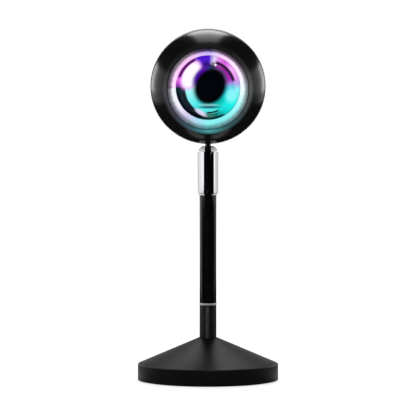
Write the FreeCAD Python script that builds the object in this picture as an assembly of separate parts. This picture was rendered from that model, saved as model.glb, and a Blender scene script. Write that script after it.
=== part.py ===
import FreeCAD, Part
import math
import os

# A table lamp that projects a disc of sunset colours: a weighted cone base, a slim stem, a slotted ball swivel
# and a ball-shaped head with a domed lens. Millimetres, +Z up. The origin is the middle of the foot, and the
# lamp shines towards -Y.

# ---- Clearances ----
running_gap = 0.05        # radial play of a shaft that turns in its bore
thread_gap = 0.05         # radial play drawn between a thread and its tapped hole
slip_gap = 0.1            # pieces that slide together and then stay put
end_float = 0.1           # axial play of a turning piece
ball_gap = 0.12           # round the swivel ball
neck_gap = 0.25           # each side of the neck in its slot
nut_clearance = 0.6       # free space beyond the end of a rod, nut or screw head

# ---- Base ----
base_radius = 48.5
rim_lift = 0.5            # the shell's edge stays off the table
rim_height = 11.1
cone_height = 18.2
shell_wall = 1.2
apex_land = 0.65          # flat ring left round the sleeve at the top of the cone
rim_rounding = 0.8
pad_thickness = 1.6
pad_margin = 1.3          # the pad is this much smaller than the plate
plate_thickness = 2.0
weight_thickness = 6.0
weight_margin = 2.8       # free space between the weight and the rim
hub_radius = 16.0
hub_shoulder = 1.4        # free space between the hub's slope and the cone
base_screw_count = 3
base_screw_circle = 30.0
base_screw_radius = 1.5
base_screw_head = 3.0
base_screw_length = 7.5

# ---- Stem ----
tie_rod_radius = 3.0
tie_nut_flats = 10.0
tie_nut_height = 5.0
tie_washer_radius = 7.0
tie_washer_thickness = 1.2
stem_radius = 5.85
tube_wall = 1.0
spigot_length = 6.0
sleeve_bush_length = 8.0
sleeve_length = 22.6
ring_height = 1.4
ring_proud = 0.15
tube_length = 74.4

# ---- Swivel, from the post's flange up ----
flange_height = 1.3
flange_radius = 6.3
post_radius = 3.5
post_spigot = 10.0
post_web = 1.0            # metal left between the rod's hole and the pan screw's hole
plug_length = 7.6
pan_washer_thickness = 0.8
pan_screw_radius = 1.5
pan_screw_head = 2.75
pan_screw_head_height = 1.8
pan_screw_length = 6.5
tension_plug_height = 3.5
key_flats = 4.0
key_depth = 2.5
spring_count = 3
spring_thickness = 0.5
spring_rise = 0.5
seat_web = 3.9            # nylon under the ball
seat_rim_drop = 2.5       # the seat's rim lies this far below the ball's centre
ball_radius = 4.5
seat_shoulder = 1.13      # step from the ball's cavity out to the housing's bore
housing_wall = 1.35
dome_step = 0.7           # the domed top's radius is this much more than the housing's
mouth_low_radius = 3.25   # the opening over the ball, at the ball and at the dome
mouth_high_radius = 4.2

# ---- Ball stud and the head's bearing ----
neck_radius = 1.95
head_gap = 0.45           # between the swivel's dome and the head
collar_radius = 2.9
collar_thickness = 1.1
collar_recess = 0.2       # the collar hides this far inside the head
collar_play = 0.3
shank_radius = 2.0
bush_radius = 4.5
bush_length = 6.9
bush_flange_radius = 6.0
bush_flange_thickness = 1.4
bush_flange_height = 2.0  # from the bush's lower end to its flange
boss_wall = 2.0
thrust_washer_thickness = 0.8
thrust_washer_radius = 4.0
lock_nut_flats = 7.0
lock_nut_height = 3.2
thread_end = 0.4

# ---- Head ----
head_radius = 39.75
head_wall = 2.2
face_setting = 27.2       # from the head's centre to the plane of its mouth
mouth_land = 0.8          # black edge left round the mouth
seam_depth = 0.35
lip_length = 3.0
lip_overlap = 2.0
lip_wall = 1.0
screw_post_angles = (90.0, 210.0, 330.0)
front_post_radius = 3.2
rear_post_radius = 4.0
post_clear = 0.7          # between the front posts and the light well
shell_screw_radius = 1.4
shell_screw_head = 2.5
shell_screw_head_height = 2.0
shell_screw_seat = 14.0   # from the head's centre back to the screw heads' seats
shell_screw_reach = 12.0  # from the head's centre forward to the screws' tips
vent_pitch = 5.0
vent_count = 6
vent_width = 2.0
vent_circle = 17.0

# ---- Optics, along the axis of the head ----
lens_recess = 4.85        # from the mouth back to the lens's tip
lens_sag = 11.3
lens_rim = 3.0
lens_rim_land = 1.0
well_flare = 5.2          # the light well's mouth radius less the lens's radius
well_lip = 0.5
well_cover = 0.2          # the well's inner edge covers the lens ring
well_straight = 4.5
well_foot = 1.5
lens_ring_height = 1.9
gasket_thickness = 0.8
gasket_width = 2.0
barrel_wall = 1.85
cone_wall = 2.4
chamber_length = 13.4     # from the emitter's board to the filter's stop
chamber_radius = 13.15
filter_lip = 0.95
filter_lip_thickness = 1.0
filter_thickness = 1.1
clip_height = 1.2
clip_width = 1.5
condenser_radius = 9.0
condenser_rim = 1.6
condenser_land = 0.8
condenser_sag = 3.5
web_thickness = 2.2
web_hole_radius = 7.6
ear_thickness = 2.5
ear_radius = 3.6

# ---- Electrics ----
board_edge = 0.2          # board left outside the screw heads
board_thickness = 1.6
emitter_radius = 5.5
emitter_base = 0.5
emitter_dome = 0.5
led_screw_gap = 0.2       # between the barrel and the screw heads
led_screw_length = 4.0
small_screw_radius = 1.0
small_screw_head = 1.8
small_screw_head_height = 1.3
sink_base = 3.0
fin_length = 7.0
fin_clear = 1.4
fin_pitch = 5.0
fin_count = 7
fin_thickness = 1.2
sink_screw_places = ((7.5, 9.6), (-7.5, -9.6))
sink_screw_bite = 3.6
driver_width = 16.0
driver_length = 15.0
driver_thickness = 1.2
driver_end_gap = 3.8844   # from the driver's back corners to the shell, level
driver_drop = 11.55       # from the shell's lowest inside to the driver's board
driver_clear = 0.3        # between the driver's parts and the sink
coil_radius = 2.6
coil_height = 2.8
coil_place = (2.4, 9.3)   # across, and back from the driver's front edge
capacitor_radius = 1.6
capacitor_height = 3.4
capacitor_place = (-2.6, 11.8)
chip_width = 3.5
chip_height = 1.2
chip_place = (-3.25, 7.55)
rail_width = 3.0
board_screw_setback = 3.0
board_screw_bite = 3.6
board_screw_spare = 1.4   # depth of the hole beyond the screw's tip
lead_radius = 0.5
lead_half_spacing = 2.5
lead_start = 3.5
lead_pad_drop = 1.8       # from the barrel down to the leads' pads

# ---- Cable inlet ----
inlet_angle = 45.0        # below level, at the back
inlet_bore_radius = 1.75
grommet_neck_radius = 3.7
grommet_flange_radius = 5.2
grommet_flange_thickness = 1.2
grommet_flat = 0.45       # depth of the flat that the grommet sits on
grommet_nose = 3.0
grommet_tip_radius = 3.0

UP = FreeCAD.Vector(0, 0, 1)
RIGHT = FreeCAD.Vector(1, 0, 0)
ORIGIN = FreeCAD.Vector(0, 0, 0)
BIG = 200.0


# ---- Heights of the stem and the swivel ----
plate_low = pad_thickness
plate_top = plate_low + plate_thickness
rim_top = rim_lift + rim_height
apex = rim_top + cone_height
ring_low = apex + sleeve_length
tube_low = ring_low + ring_height
flange_low = tube_low + tube_length
flange_top = flange_low + flange_height
plug_low = flange_top + end_float
plug_top = plug_low + plug_length
post_top = plug_top + end_float
pan_washer_top = post_top + pan_washer_thickness
pan_head_top = pan_washer_top + pan_screw_head_height
tension_low = pan_head_top + nut_clearance
tension_top = tension_low + tension_plug_height
spring_height = spring_thickness + spring_rise
seat_low = tension_top + spring_count * spring_height
ball_cavity = ball_radius + ball_gap
pivot = seat_low + seat_web + ball_cavity

# ---- Radii that follow from the pieces inside ----
apex_radius = stem_radius + apex_land
cone_slope = cone_height / (base_radius - apex_radius)
spigot_radius = stem_radius - tube_wall - slip_gap
tie_hole = tie_rod_radius + slip_gap
bore_radius = ball_cavity + seat_shoulder
housing_radius = bore_radius + housing_wall
dome_radius = housing_radius + dome_step
slot_half = neck_radius + neck_gap
spring_outer = bore_radius - 0.55
spring_inner = spring_outer / 2

# ---- The head's centre, and heights on the ball stud ----
head_centre = pivot + dome_radius + head_gap + head_radius
head_bottom = head_centre - head_radius
collar_low = head_bottom + collar_recess
collar_top = collar_low + collar_thickness
bush_low = collar_top + end_float
bush_top = bush_low + bush_length
washer_low = bush_top + end_float / 2
washer_top = washer_low + thrust_washer_thickness
stud_nut_top = washer_top + lock_nut_height
stud_top = stud_nut_top + thread_end

# ---- Distances forward of the head's centre, along the optical axis ----
inner_radius = head_radius - head_wall
mouth_edge = math.sqrt(head_radius ** 2 - face_setting ** 2)
mouth_radius = mouth_edge - mouth_land
well_radius = mouth_radius - slip_gap
well_front = face_setting - 0.2
lens_dome = well_radius - well_lip - well_flare - well_cover - 0.2
lens_radius = lens_dome + lens_rim_land
lens_rim_front = face_setting - lens_recess - lens_sag
lens_back = lens_rim_front - lens_rim
gasket_back = lens_back - gasket_thickness
pocket_radius = lens_radius + slip_gap
barrel_radius = pocket_radius + barrel_wall
barrel_front = lens_rim_front + lens_ring_height + 0.3
chamber_outer = chamber_radius + barrel_wall
led_screw_circle = chamber_outer + led_screw_gap + small_screw_head
board_radius = led_screw_circle + small_screw_head + board_edge
sink_back = -math.sqrt(inner_radius ** 2 - board_radius ** 2) + fin_clear + fin_length
sink_front = sink_back + sink_base
board_front = sink_front + board_thickness
filter_stop = board_front + chamber_length
post_circle = well_radius + post_clear + front_post_radius
driver_low = -(inner_radius - driver_drop)
driver_top = driver_low + driver_thickness
driver_corner = math.sqrt(inner_radius ** 2 - driver_low ** 2 - (driver_width / 2) ** 2)
driver_start = driver_corner - driver_end_gap - driver_length


# ---- Helpers ----
def turned(profile):
    """Solid turned about the vertical axis from its (radius, height) corners."""
    corners = [FreeCAD.Vector(radius, 0, height) for radius, height in profile]
    outline = Part.makePolygon(corners + corners[:1])
    return Part.Face(outline).revolve(ORIGIN, UP, 360)


def bar(radius, low, high, x=0.0, y=0.0):
    return Part.makeCylinder(radius, high - low, FreeCAD.Vector(x, y, low), UP)


def ring(outer, inner, low, high):
    return turned([(inner, low), (outer, low), (outer, high), (inner, high)])


def block(x_low, x_high, y_low, y_high, z_low, z_high):
    corner = FreeCAD.Vector(x_low, y_low, z_low)
    return Part.makeBox(x_high - x_low, y_high - y_low, z_high - z_low, corner)


def hexagon(flats, low, high):
    """Upright hexagonal bar; flats is the distance across its flats."""
    reach = flats / math.sqrt(3)
    corners = [
        FreeCAD.Vector(reach * math.cos(step * math.pi / 3), reach * math.sin(step * math.pi / 3), low)
        for step in range(7)
    ]
    return Part.Face(Part.makePolygon(corners)).extrude(UP * (high - low))


def circle_places(radius, angles):
    return [
        (radius * math.cos(math.radians(angle)), radius * math.sin(math.radians(angle)))
        for angle in angles
    ]


def rounded(shape, size, *rims):
    """Rounds the circular edges that lie at the given (radius, height) places."""
    edges = []
    for edge in shape.Edges:
        box = edge.BoundBox
        for radius, height in rims:
            flat = box.ZLength < 0.001 and abs(box.ZMin - height) < 0.001
            if flat and abs(box.XLength / 2 - radius) < 0.001:
                edges.append(edge)
    return shape.makeFillet(size, edges)


def lens(radius, rim, dome, sag):
    """Plano-convex lens with its flat back at height 0 and its dome upwards."""
    curve = (dome ** 2 + sag ** 2) / (2 * sag)
    half_turn = math.asin(dome / curve) / 2
    tip = rim + sag
    middle = FreeCAD.Vector(curve * math.sin(half_turn), 0, tip - curve + curve * math.cos(half_turn))
    corners = [(0, tip), (0, 0), (radius, 0), (radius, rim), (dome, rim)]
    points = [FreeCAD.Vector(x, 0, z) for x, z in corners]
    edges = Part.makePolygon(points).Edges
    edges.append(Part.Arc(points[-1], middle, points[0]).toShape())
    return Part.Face(Part.Wire(edges)).revolve(ORIGIN, UP, 360)


def screw(radius, head_radius_, head_height, tip, seat, x=0.0, y=0.0):
    """Pan-head screw whose head rests on the height called seat and whose tip points away from it."""
    outward = 1 if seat > tip else -1
    head_end = seat + outward * head_height
    shank = bar(radius, min(tip, seat), max(tip, seat), x, y)
    return shank.fuse(bar(head_radius_, min(seat, head_end), max(seat, head_end), x, y))


def aimed(shape):
    """Moves a piece drawn upwards along +Z to lie forward along the head's optical axis."""
    shape.rotate(ORIGIN, RIGHT, 90)
    shape.translate(UP * head_centre)
    return shape


# ---- Base ----
def cone_outside(radius):
    return rim_top + (base_radius - radius) * cone_slope


def cone_inside(radius):
    return cone_outside(radius) - shell_wall * math.hypot(1, cone_slope)


def make_base_shell():
    inner_rim = base_radius - shell_wall
    under_apex = apex - shell_wall
    inner_apex = inner_rim - (under_apex - cone_inside(inner_rim)) / cone_slope
    shell = turned([
        (base_radius, rim_lift),
        (base_radius, rim_top),
        (apex_radius, apex),
        (tie_hole, apex),
        (tie_hole, under_apex),
        (inner_apex, under_apex),
        (inner_rim, cone_inside(inner_rim)),
        (inner_rim, rim_lift),
    ])
    return rounded(shell, rim_rounding, (base_radius, rim_top))


def base_screw_places():
    step = 360.0 / base_screw_count
    return circle_places(base_screw_circle, [90 + step * index for index in range(base_screw_count)])


def base_screw(gap=0.0):
    """Countersunk screw; a gap gives the hole that it needs."""
    countersink = base_screw_head - base_screw_radius
    return turned([
        (0, plate_low),
        (base_screw_head + gap, plate_low),
        (base_screw_radius + gap, plate_low + countersink),
        (base_screw_radius + gap, plate_low + base_screw_length + gap),
        (0, plate_low + base_screw_length + gap),
    ])


def make_base_screws():
    return [base_screw().translated(FreeCAD.Vector(x, y, 0)) for x, y in base_screw_places()]


def drilled_for_base_screws(shape):
    for x, y in base_screw_places():
        shape = shape.cut(base_screw(thread_gap).translated(FreeCAD.Vector(x, y, 0)))
    return shape


def make_foot_pad():
    plate_radius = base_radius - shell_wall - slip_gap
    return bar(plate_radius - pad_margin, 0, pad_thickness)


def make_base_plate():
    plate = bar(base_radius - shell_wall - slip_gap, plate_low, plate_top)
    return drilled_for_base_screws(plate)


tie_washer_top = plate_top + 2 * nut_clearance + tie_nut_height + tie_washer_thickness
tie_nut_top = tie_washer_top - tie_washer_thickness
tie_nut_low = tie_nut_top - tie_nut_height
tie_rod_low = tie_nut_low - nut_clearance


def make_base_weight():
    under_apex = apex - shell_wall
    pocket_radius_ = tie_washer_radius + nut_clearance
    weight = turned([
        (tie_hole, tie_washer_top),
        (pocket_radius_, tie_washer_top),
        (pocket_radius_, plate_top),
        (base_radius - shell_wall - weight_margin, plate_top),
        (base_radius - shell_wall - weight_margin, plate_top + weight_thickness),
        (hub_radius, plate_top + weight_thickness),
        (hub_radius, cone_inside(hub_radius) - hub_shoulder),
        (stem_radius, under_apex),
        (tie_hole, under_apex),
    ])
    return drilled_for_base_screws(weight)


# ---- Stem ----
rod_socket_top = flange_low - post_web


def make_tie_rod():
    return bar(tie_rod_radius, tie_rod_low, rod_socket_top - slip_gap)


def make_tie_washer():
    return ring(tie_washer_radius, tie_rod_radius + slip_gap, tie_nut_top, tie_washer_top)


def make_tie_nut():
    nut = hexagon(tie_nut_flats, tie_nut_low, tie_nut_top)
    return nut.cut(bar(tie_rod_radius + thread_gap, tie_nut_low, tie_nut_top))


def make_sleeve_bush():
    return ring(spigot_radius, tie_hole, apex, apex + sleeve_bush_length)


def make_lower_sleeve():
    return ring(stem_radius, stem_radius - tube_wall, apex, ring_low)


def make_joint_ring():
    return turned([
        (tie_hole, ring_low - spigot_length),
        (spigot_radius, ring_low - spigot_length),
        (spigot_radius, ring_low),
        (stem_radius + ring_proud, ring_low),
        (stem_radius + ring_proud, tube_low),
        (spigot_radius, tube_low),
        (spigot_radius, tube_low + spigot_length),
        (tie_hole, tube_low + spigot_length),
    ])


def make_stem_tube():
    return ring(stem_radius, stem_radius - tube_wall, tube_low, flange_low)


# ---- Pan swivel ----
def make_swivel_post():
    socket = tie_rod_radius + thread_gap
    post = turned([
        (0, rod_socket_top),
        (socket, rod_socket_top),
        (socket, flange_low - post_spigot),
        (spigot_radius, flange_low - post_spigot),
        (spigot_radius, flange_low),
        (flange_radius, flange_low),
        (flange_radius, flange_top),
        (post_radius, flange_top),
        (post_radius, post_top),
        (0, post_top),
    ])
    hole_low = pan_washer_top - pan_screw_length - slip_gap
    return post.cut(bar(pan_screw_radius + thread_gap, hole_low, post_top))


def make_pan_washer():
    outer = bore_radius - seat_shoulder / 2
    return ring(outer, pan_screw_radius + slip_gap, post_top, pan_washer_top)


def make_pan_screw():
    tip = pan_washer_top - pan_screw_length
    return screw(pan_screw_radius, pan_screw_head, pan_screw_head_height, tip, pan_washer_top)


def make_swivel_plug():
    return ring(bore_radius - thread_gap, post_radius + running_gap, plug_low, plug_top)


def make_tension_plug():
    plug = bar(bore_radius - thread_gap, tension_low, tension_top)
    return plug.cut(hexagon(key_flats, tension_low, tension_low + key_depth))


def make_disc_springs():
    springs = []
    for index in range(spring_count):
        low = tension_top + index * spring_height
        inner_low, outer_low = (low + spring_rise, low) if index % 2 == 0 else (low, low + spring_rise)
        springs.append(turned([
            (spring_inner, inner_low),
            (spring_outer, outer_low),
            (spring_outer, outer_low + spring_thickness),
            (spring_inner, inner_low + spring_thickness),
        ]))
    return springs


def ball_hollow():
    return Part.makeSphere(ball_cavity, UP * pivot)


def make_ball_seat():
    return bar(bore_radius - slip_gap, seat_low, pivot - seat_rim_drop).cut(ball_hollow())


def make_swivel_housing():
    """Cylinder with a domed top, a cavity that holds the ball down, and a slot that the neck folds into."""
    shoulder = pivot - seat_rim_drop + slip_gap
    top = pivot + dome_radius
    dome = Part.makeSphere(dome_radius, UP * pivot).common(bar(housing_radius, pivot, top))
    body = bar(housing_radius, plug_low, pivot).fuse(dome)
    mouth_low = pivot + math.sqrt(ball_cavity ** 2 - mouth_low_radius ** 2)
    mouth_high = pivot + math.sqrt(dome_radius ** 2 - mouth_high_radius ** 2)
    flare = (mouth_high_radius - mouth_low_radius) / (mouth_high - mouth_low)
    hollow = turned([
        (0, plug_low),
        (bore_radius, plug_low),
        (bore_radius, shoulder),
        (ball_cavity, shoulder),
        (ball_cavity, pivot),
        (0, pivot),
    ])
    mouth = turned([
        (0, pivot),
        (mouth_low_radius, pivot),
        (mouth_low_radius, mouth_low),
        (mouth_low_radius + flare * (top - mouth_low), top),
        (0, top),
    ])
    slot = block(-slot_half, slot_half, -dome_radius, 0, pivot, top)
    slot_end = Part.makeCylinder(slot_half, dome_radius, UP * pivot, FreeCAD.Vector(0, -1, 0))
    housing = body.cut(hollow.fuse([ball_hollow(), mouth, slot, slot_end]))
    return housing.removeSplitter()


# ---- Ball stud ----
def make_ball_stud():
    rod = turned([
        (0, pivot),
        (neck_radius, pivot),
        (neck_radius, collar_low),
        (collar_radius, collar_low),
        (collar_radius, collar_top),
        (shank_radius, collar_top),
        (shank_radius, stud_top),
        (0, stud_top),
    ])
    return Part.makeSphere(ball_radius, UP * pivot).fuse(rod)


def make_thrust_washer():
    return ring(thrust_washer_radius, shank_radius + slip_gap, washer_low, washer_top)


def make_lock_nut():
    nut = hexagon(lock_nut_flats, washer_top, stud_nut_top)
    return nut.cut(bar(shank_radius + thread_gap, washer_top, stud_nut_top))


def bush_profile(bore, gap):
    flange_low_ = bush_low + bush_flange_height
    flange_top_ = flange_low_ + bush_flange_thickness
    return [
        (bore, bush_low),
        (bush_radius + gap, bush_low),
        (bush_radius + gap, flange_low_ - gap),
        (bush_flange_radius + gap, flange_low_ - gap),
        (bush_flange_radius + gap, flange_top_ + gap),
        (bush_radius + gap, flange_top_ + gap),
        (bush_radius + gap, bush_top),
        (bore, bush_top),
    ]


def make_stud_bush():
    return turned(bush_profile(shank_radius + running_gap, 0.0))


# ---- Head shells ----
def make_ball_shell():
    """The whole ball with its mouth cut and its boss for the bush, before it is parted in two."""
    ball = aimed(Part.makeSphere(head_radius))
    hollow = aimed(Part.makeSphere(inner_radius))
    shell = ball.cut(hollow)
    boss_radius = bush_flange_radius + boss_wall
    boss_top = bush_low + bush_flange_height + bush_flange_thickness + boss_wall
    boss = bar(boss_radius, head_bottom, boss_top).common(ball)
    shell = shell.fuse(boss)
    shell = shell.cut(bar(collar_radius + collar_play, head_bottom - 1, boss_top))
    shell = shell.cut(turned(bush_profile(0.0, slip_gap / 2)))
    beyond_face = aimed(bar(BIG, face_setting, BIG))
    mouth = aimed(bar(mouth_radius, 0, BIG))
    seam = aimed(turned([
        (head_radius - seam_depth, 0),
        (head_radius + seam_depth, 2 * seam_depth),
        (head_radius + seam_depth, -2 * seam_depth),
    ]))
    return shell.cut(beyond_face).cut(mouth).cut(seam).removeSplitter()


def screw_post(radius, hole, front, back):
    """Posts for the shell screws, cut to the inside of the ball."""
    posts = []
    for x, y in circle_places(post_circle, screw_post_angles):
        posts.append(bar(radius, back, front, x, y).cut(bar(hole, back, front, x, y)))
    reach = Part.makeSphere(inner_radius + head_wall / 2)
    return aimed(Part.makeCompound(posts).common(reach))


def make_front_shell(ball_shell):
    front = ball_shell.common(block(-BIG, BIG, -BIG, 0, -BIG, 2 * BIG))
    posts = screw_post(front_post_radius, shell_screw_radius - 0.1, head_radius, ear_thickness / 2)
    return front.fuse(posts.Solids).removeSplitter()


def make_rear_shell(ball_shell):
    rear = ball_shell.common(block(-BIG, BIG, 0, BIG, -BIG, 2 * BIG))
    posts = screw_post(rear_post_radius, shell_screw_radius + slip_gap, -ear_thickness / 2, -head_radius)
    rear = rear.fuse(posts.Solids).fuse([make_lip(), *make_rails()])
    for x, y in circle_places(post_circle, screw_post_angles):
        well = bar(shell_screw_head + slip_gap, -head_radius, -shell_screw_seat, x, y)
        rear = rear.cut(aimed(well))
    for vent in vents():
        rear = rear.cut(vent)
    return rear.cut(grommet_seat()).removeSplitter()


def make_lip():
    """Ring inside the seam that keeps the two shells in line."""
    outside = inner_radius - lip_overlap ** 2 / (2 * inner_radius) - slip_gap
    lip = turned([
        (outside - lip_wall, -lip_length),
        (inner_radius + slip_gap, -lip_length),
        (inner_radius + slip_gap, -slip_gap),
        (outside, 0),
        (outside, lip_overlap),
        (outside - lip_wall, lip_overlap),
    ])
    boss_radius = bush_flange_radius + boss_wall + slip_gap
    return aimed(lip).cut(bar(boss_radius, 0, head_centre))


def rail_places():
    return (-driver_width / 2, driver_width / 2 - rail_width)


def make_rails():
    """Two ribs in the rear shell that carry the driver's board."""
    wall = aimed(Part.makeSphere(inner_radius + head_wall / 2))
    floor = head_centre - head_radius
    rails = []
    for x in rail_places():
        rail = block(
            x, x + rail_width, driver_start, driver_start + driver_length, floor, head_centre + driver_low
        )
        hole_low = head_centre + driver_low - board_screw_bite - board_screw_spare
        for _, y in board_screw_places():
            rail = rail.cut(bar(small_screw_radius - 0.1, hole_low, head_centre, x + rail_width / 2, y))
        rails.append(rail.common(wall))
    return rails


def vents():
    slots = []
    first = -(vent_count - 1) / 2 * vent_pitch
    for index in range(vent_count):
        x = first + index * vent_pitch
        half = math.sqrt(vent_circle ** 2 - x ** 2)
        slot = block(x - vent_width / 2, x + vent_width / 2, 0, head_radius, -half, half)
        window = slot.fuse([
            Part.makeCylinder(vent_width / 2, head_radius, FreeCAD.Vector(x, 0, end), FreeCAD.Vector(0, 1, 0))
            for end in (-half, half)
        ])
        window.translate(UP * head_centre)
        slots.append(window.common(block(-BIG, BIG, -sink_back, BIG, 0, 2 * BIG)))
    return slots


# ---- Cable inlet ----
def at_inlet(shape):
    """Moves a piece drawn upwards along +Z to the inlet's direction, down and back from the head's centre."""
    shape.rotate(ORIGIN, RIGHT, -90 - inlet_angle)
    shape.translate(UP * head_centre)
    return shape


grommet_seat_height = head_radius - grommet_flat
grommet_inner_height = math.sqrt(inner_radius ** 2 - grommet_flange_radius ** 2) - slip_gap


def grommet_seat():
    hole = bar(grommet_neck_radius + slip_gap, head_radius / 2, head_radius + 1)
    flat = bar(grommet_flange_radius + 2 * slip_gap, grommet_seat_height, head_radius + 1)
    return at_inlet(hole.fuse(flat))


def make_cable_grommet():
    top = grommet_seat_height + grommet_flange_thickness
    inner = grommet_inner_height - grommet_flange_thickness
    return at_inlet(turned([
        (inlet_bore_radius, inner),
        (grommet_flange_radius, inner),
        (grommet_flange_radius, grommet_inner_height),
        (grommet_neck_radius, grommet_inner_height),
        (grommet_neck_radius, grommet_seat_height),
        (grommet_flange_radius, grommet_seat_height),
        (grommet_flange_radius, top),
        (grommet_tip_radius, top + grommet_nose),
        (inlet_bore_radius, top + grommet_nose),
    ]))


# ---- Optics ----
def make_light_well():
    rear_radius = lens_dome + well_cover
    return aimed(turned([
        (rear_radius, barrel_front),
        (barrel_radius, barrel_front),
        (barrel_radius, barrel_front + well_foot),
        (well_radius, well_front - well_straight),
        (well_radius, well_front),
        (well_radius - well_lip, well_front),
    ]))


def make_front_lens():
    glass = lens(lens_radius, lens_rim, lens_dome, lens_sag)
    glass.translate(UP * lens_back)
    return aimed(glass)


def make_lens_gasket():
    return aimed(ring(lens_radius, lens_radius - gasket_width, gasket_back, lens_back))


def make_lens_ring():
    inner = lens_dome + slip_gap / 2
    outer = pocket_radius - thread_gap
    return aimed(ring(outer, inner, lens_rim_front, lens_rim_front + lens_ring_height))


def ear(x, y):
    """Arm from the barrel out to a shell screw."""
    length = math.hypot(x, y)
    inner = chamber_outer - barrel_wall / 2
    arm = block(inner, length, -ear_radius, ear_radius, -ear_thickness / 2, ear_thickness / 2)
    arm = arm.fuse(bar(ear_radius, -ear_thickness / 2, ear_thickness / 2, length))
    arm = arm.cut(bar(shell_screw_radius + slip_gap, -ear_thickness, ear_thickness, length))
    arm.rotate(ORIGIN, UP, math.degrees(math.atan2(y, x)))
    return arm


def make_optics_barrel():
    """Carries every lens; its back end stands on the emitter's board."""
    seat_bore = lens_radius - gasket_width
    stop_bore = chamber_radius - filter_lip
    stop_front = filter_stop + filter_lip_thickness
    shelf = gasket_back - barrel_wall
    taper = (seat_bore - stop_bore) / (gasket_back - stop_front)
    condenser_pocket = condenser_radius + slip_gap
    web_front = board_front + web_thickness
    pocket_front = web_front + condenser_rim + clip_height
    cone_foot = stop_front + (chamber_outer - cone_wall - stop_bore) / taper
    void = [
        (0, barrel_front),
        (pocket_radius, barrel_front),
        (pocket_radius, gasket_back),
        (seat_bore, gasket_back),
        (stop_bore, stop_front),
        (stop_bore, filter_stop),
        (chamber_radius, filter_stop),
        (chamber_radius, pocket_front),
        (condenser_pocket, pocket_front),
        (condenser_pocket, web_front),
        (web_hole_radius, web_front),
        (web_hole_radius, board_front),
        (0, board_front),
    ]
    outside = [
        (0, barrel_front),
        (barrel_radius, barrel_front),
        (barrel_radius, shelf),
        (seat_bore - barrel_wall * taper + cone_wall, shelf),
        (chamber_outer, cone_foot),
        (chamber_outer, board_front),
        (0, board_front),
    ]
    body = turned(outside)
    body = body.fuse([ear(x, y) for x, y in circle_places(post_circle, screw_post_angles)])
    body = body.cut(turned(void))
    for x, y in sink_screw_places:
        body = body.cut(bar(small_screw_radius - 0.1, board_front, board_front + sink_screw_bite + slip_gap, x, y))
    return aimed(body.removeSplitter())


def make_colour_filter():
    return aimed(bar(chamber_radius - slip_gap, filter_stop - filter_thickness, filter_stop))


def make_filter_clip():
    top = filter_stop - filter_thickness
    return aimed(ring(chamber_radius - slip_gap / 2, chamber_radius - clip_width, top - clip_height, top))


def make_condenser_lens():
    dome = condenser_radius - condenser_land
    glass = lens(condenser_radius, condenser_rim, dome, condenser_sag)
    glass.translate(UP * (board_front + web_thickness))
    return aimed(glass)


def make_condenser_ring():
    low = board_front + web_thickness + condenser_rim
    inner = condenser_radius - condenser_land + slip_gap / 2
    return aimed(ring(condenser_radius + slip_gap / 2, inner, low, low + clip_height))


# ---- Electrics ----
def drilled(shape, places, radius):
    for x, y in places:
        shape = shape.cut(bar(radius, -BIG, BIG, x, y))
    return shape


def led_screw_places():
    return circle_places(led_screw_circle, (0, 180))


def clear_of_driver(shape):
    """Cuts a flat under the emitter's board or the sink where the driver's parts would reach it."""
    flat = driver_top + max(coil_height, capacitor_height) + driver_clear
    return shape.cut(block(-BIG, BIG, -BIG, flat, -BIG, BIG))


def make_led_board():
    board = bar(board_radius, sink_front, board_front)
    places = [*led_screw_places(), *sink_screw_places]
    return aimed(clear_of_driver(drilled(board, places, small_screw_radius + slip_gap)))


def make_led_emitter():
    base = bar(emitter_radius, board_front, board_front + emitter_base)
    dome = bar(emitter_radius - 1, board_front + emitter_base, board_front + emitter_base + emitter_dome)
    return aimed(base.fuse(dome))


def make_led_screws():
    return [
        aimed(screw(
            small_screw_radius, small_screw_head, small_screw_head_height,
            board_front - led_screw_length, board_front, x, y,
        ))
        for x, y in led_screw_places()
    ]


def make_heat_sink():
    body = bar(board_radius, sink_back, sink_front)
    first = -(fin_count - 1) / 2 * fin_pitch
    fins = []
    for index in range(fin_count):
        x = first + index * fin_pitch
        low = x - fin_thickness / 2
        fins.append(block(low, low + fin_thickness, -board_radius, board_radius, sink_back - fin_length, sink_back))
    comb = Part.makeCompound(fins).common(bar(board_radius, sink_back - fin_length, sink_back))
    body = body.fuse(comb.Solids).removeSplitter()
    places = [*led_screw_places(), *sink_screw_places]
    return aimed(clear_of_driver(drilled(body, places, small_screw_radius + slip_gap / 2)))


def make_sink_screws():
    return [
        aimed(screw(
            small_screw_radius - 0.15, small_screw_head, small_screw_head_height,
            board_front + sink_screw_bite, sink_back, x, y,
        ))
        for x, y in sink_screw_places
    ]


def board_screw_places():
    middle = driver_width / 2 - rail_width / 2
    near = driver_start + board_screw_setback
    far = driver_start + driver_length - board_screw_setback
    return [(-middle, near), (middle, far)]


def lifted(shape):
    return shape.translated(UP * head_centre)


def make_driver_board():
    half = driver_width / 2
    board = block(-half, half, driver_start, driver_start + driver_length, driver_low, driver_top)
    return lifted(drilled(board, board_screw_places(), small_screw_radius + slip_gap))


def make_driver_parts():
    """Coil, capacitor and chip on the driver's board."""
    coil_x, coil_y = coil_place
    capacitor_x, capacitor_y = capacitor_place
    chip_x, chip_y = chip_place
    coil = bar(coil_radius, driver_top, driver_top + coil_height, coil_x, driver_start + coil_y)
    capacitor = bar(
        capacitor_radius, driver_top, driver_top + capacitor_height, capacitor_x, driver_start + capacitor_y
    )
    half = chip_width / 2
    chip = block(chip_x - half, chip_x + half, -half, half, driver_top, driver_top + chip_height)
    chip.translate(FreeCAD.Vector(0, driver_start + chip_y, 0))
    return [lifted(piece) for piece in (coil, capacitor, chip)]


def make_board_screws():
    return [
        lifted(screw(
            small_screw_radius - 0.15, small_screw_head - 0.3, small_screw_head_height,
            driver_low - board_screw_bite, driver_top, x, y,
        ))
        for x, y in board_screw_places()
    ]


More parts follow.
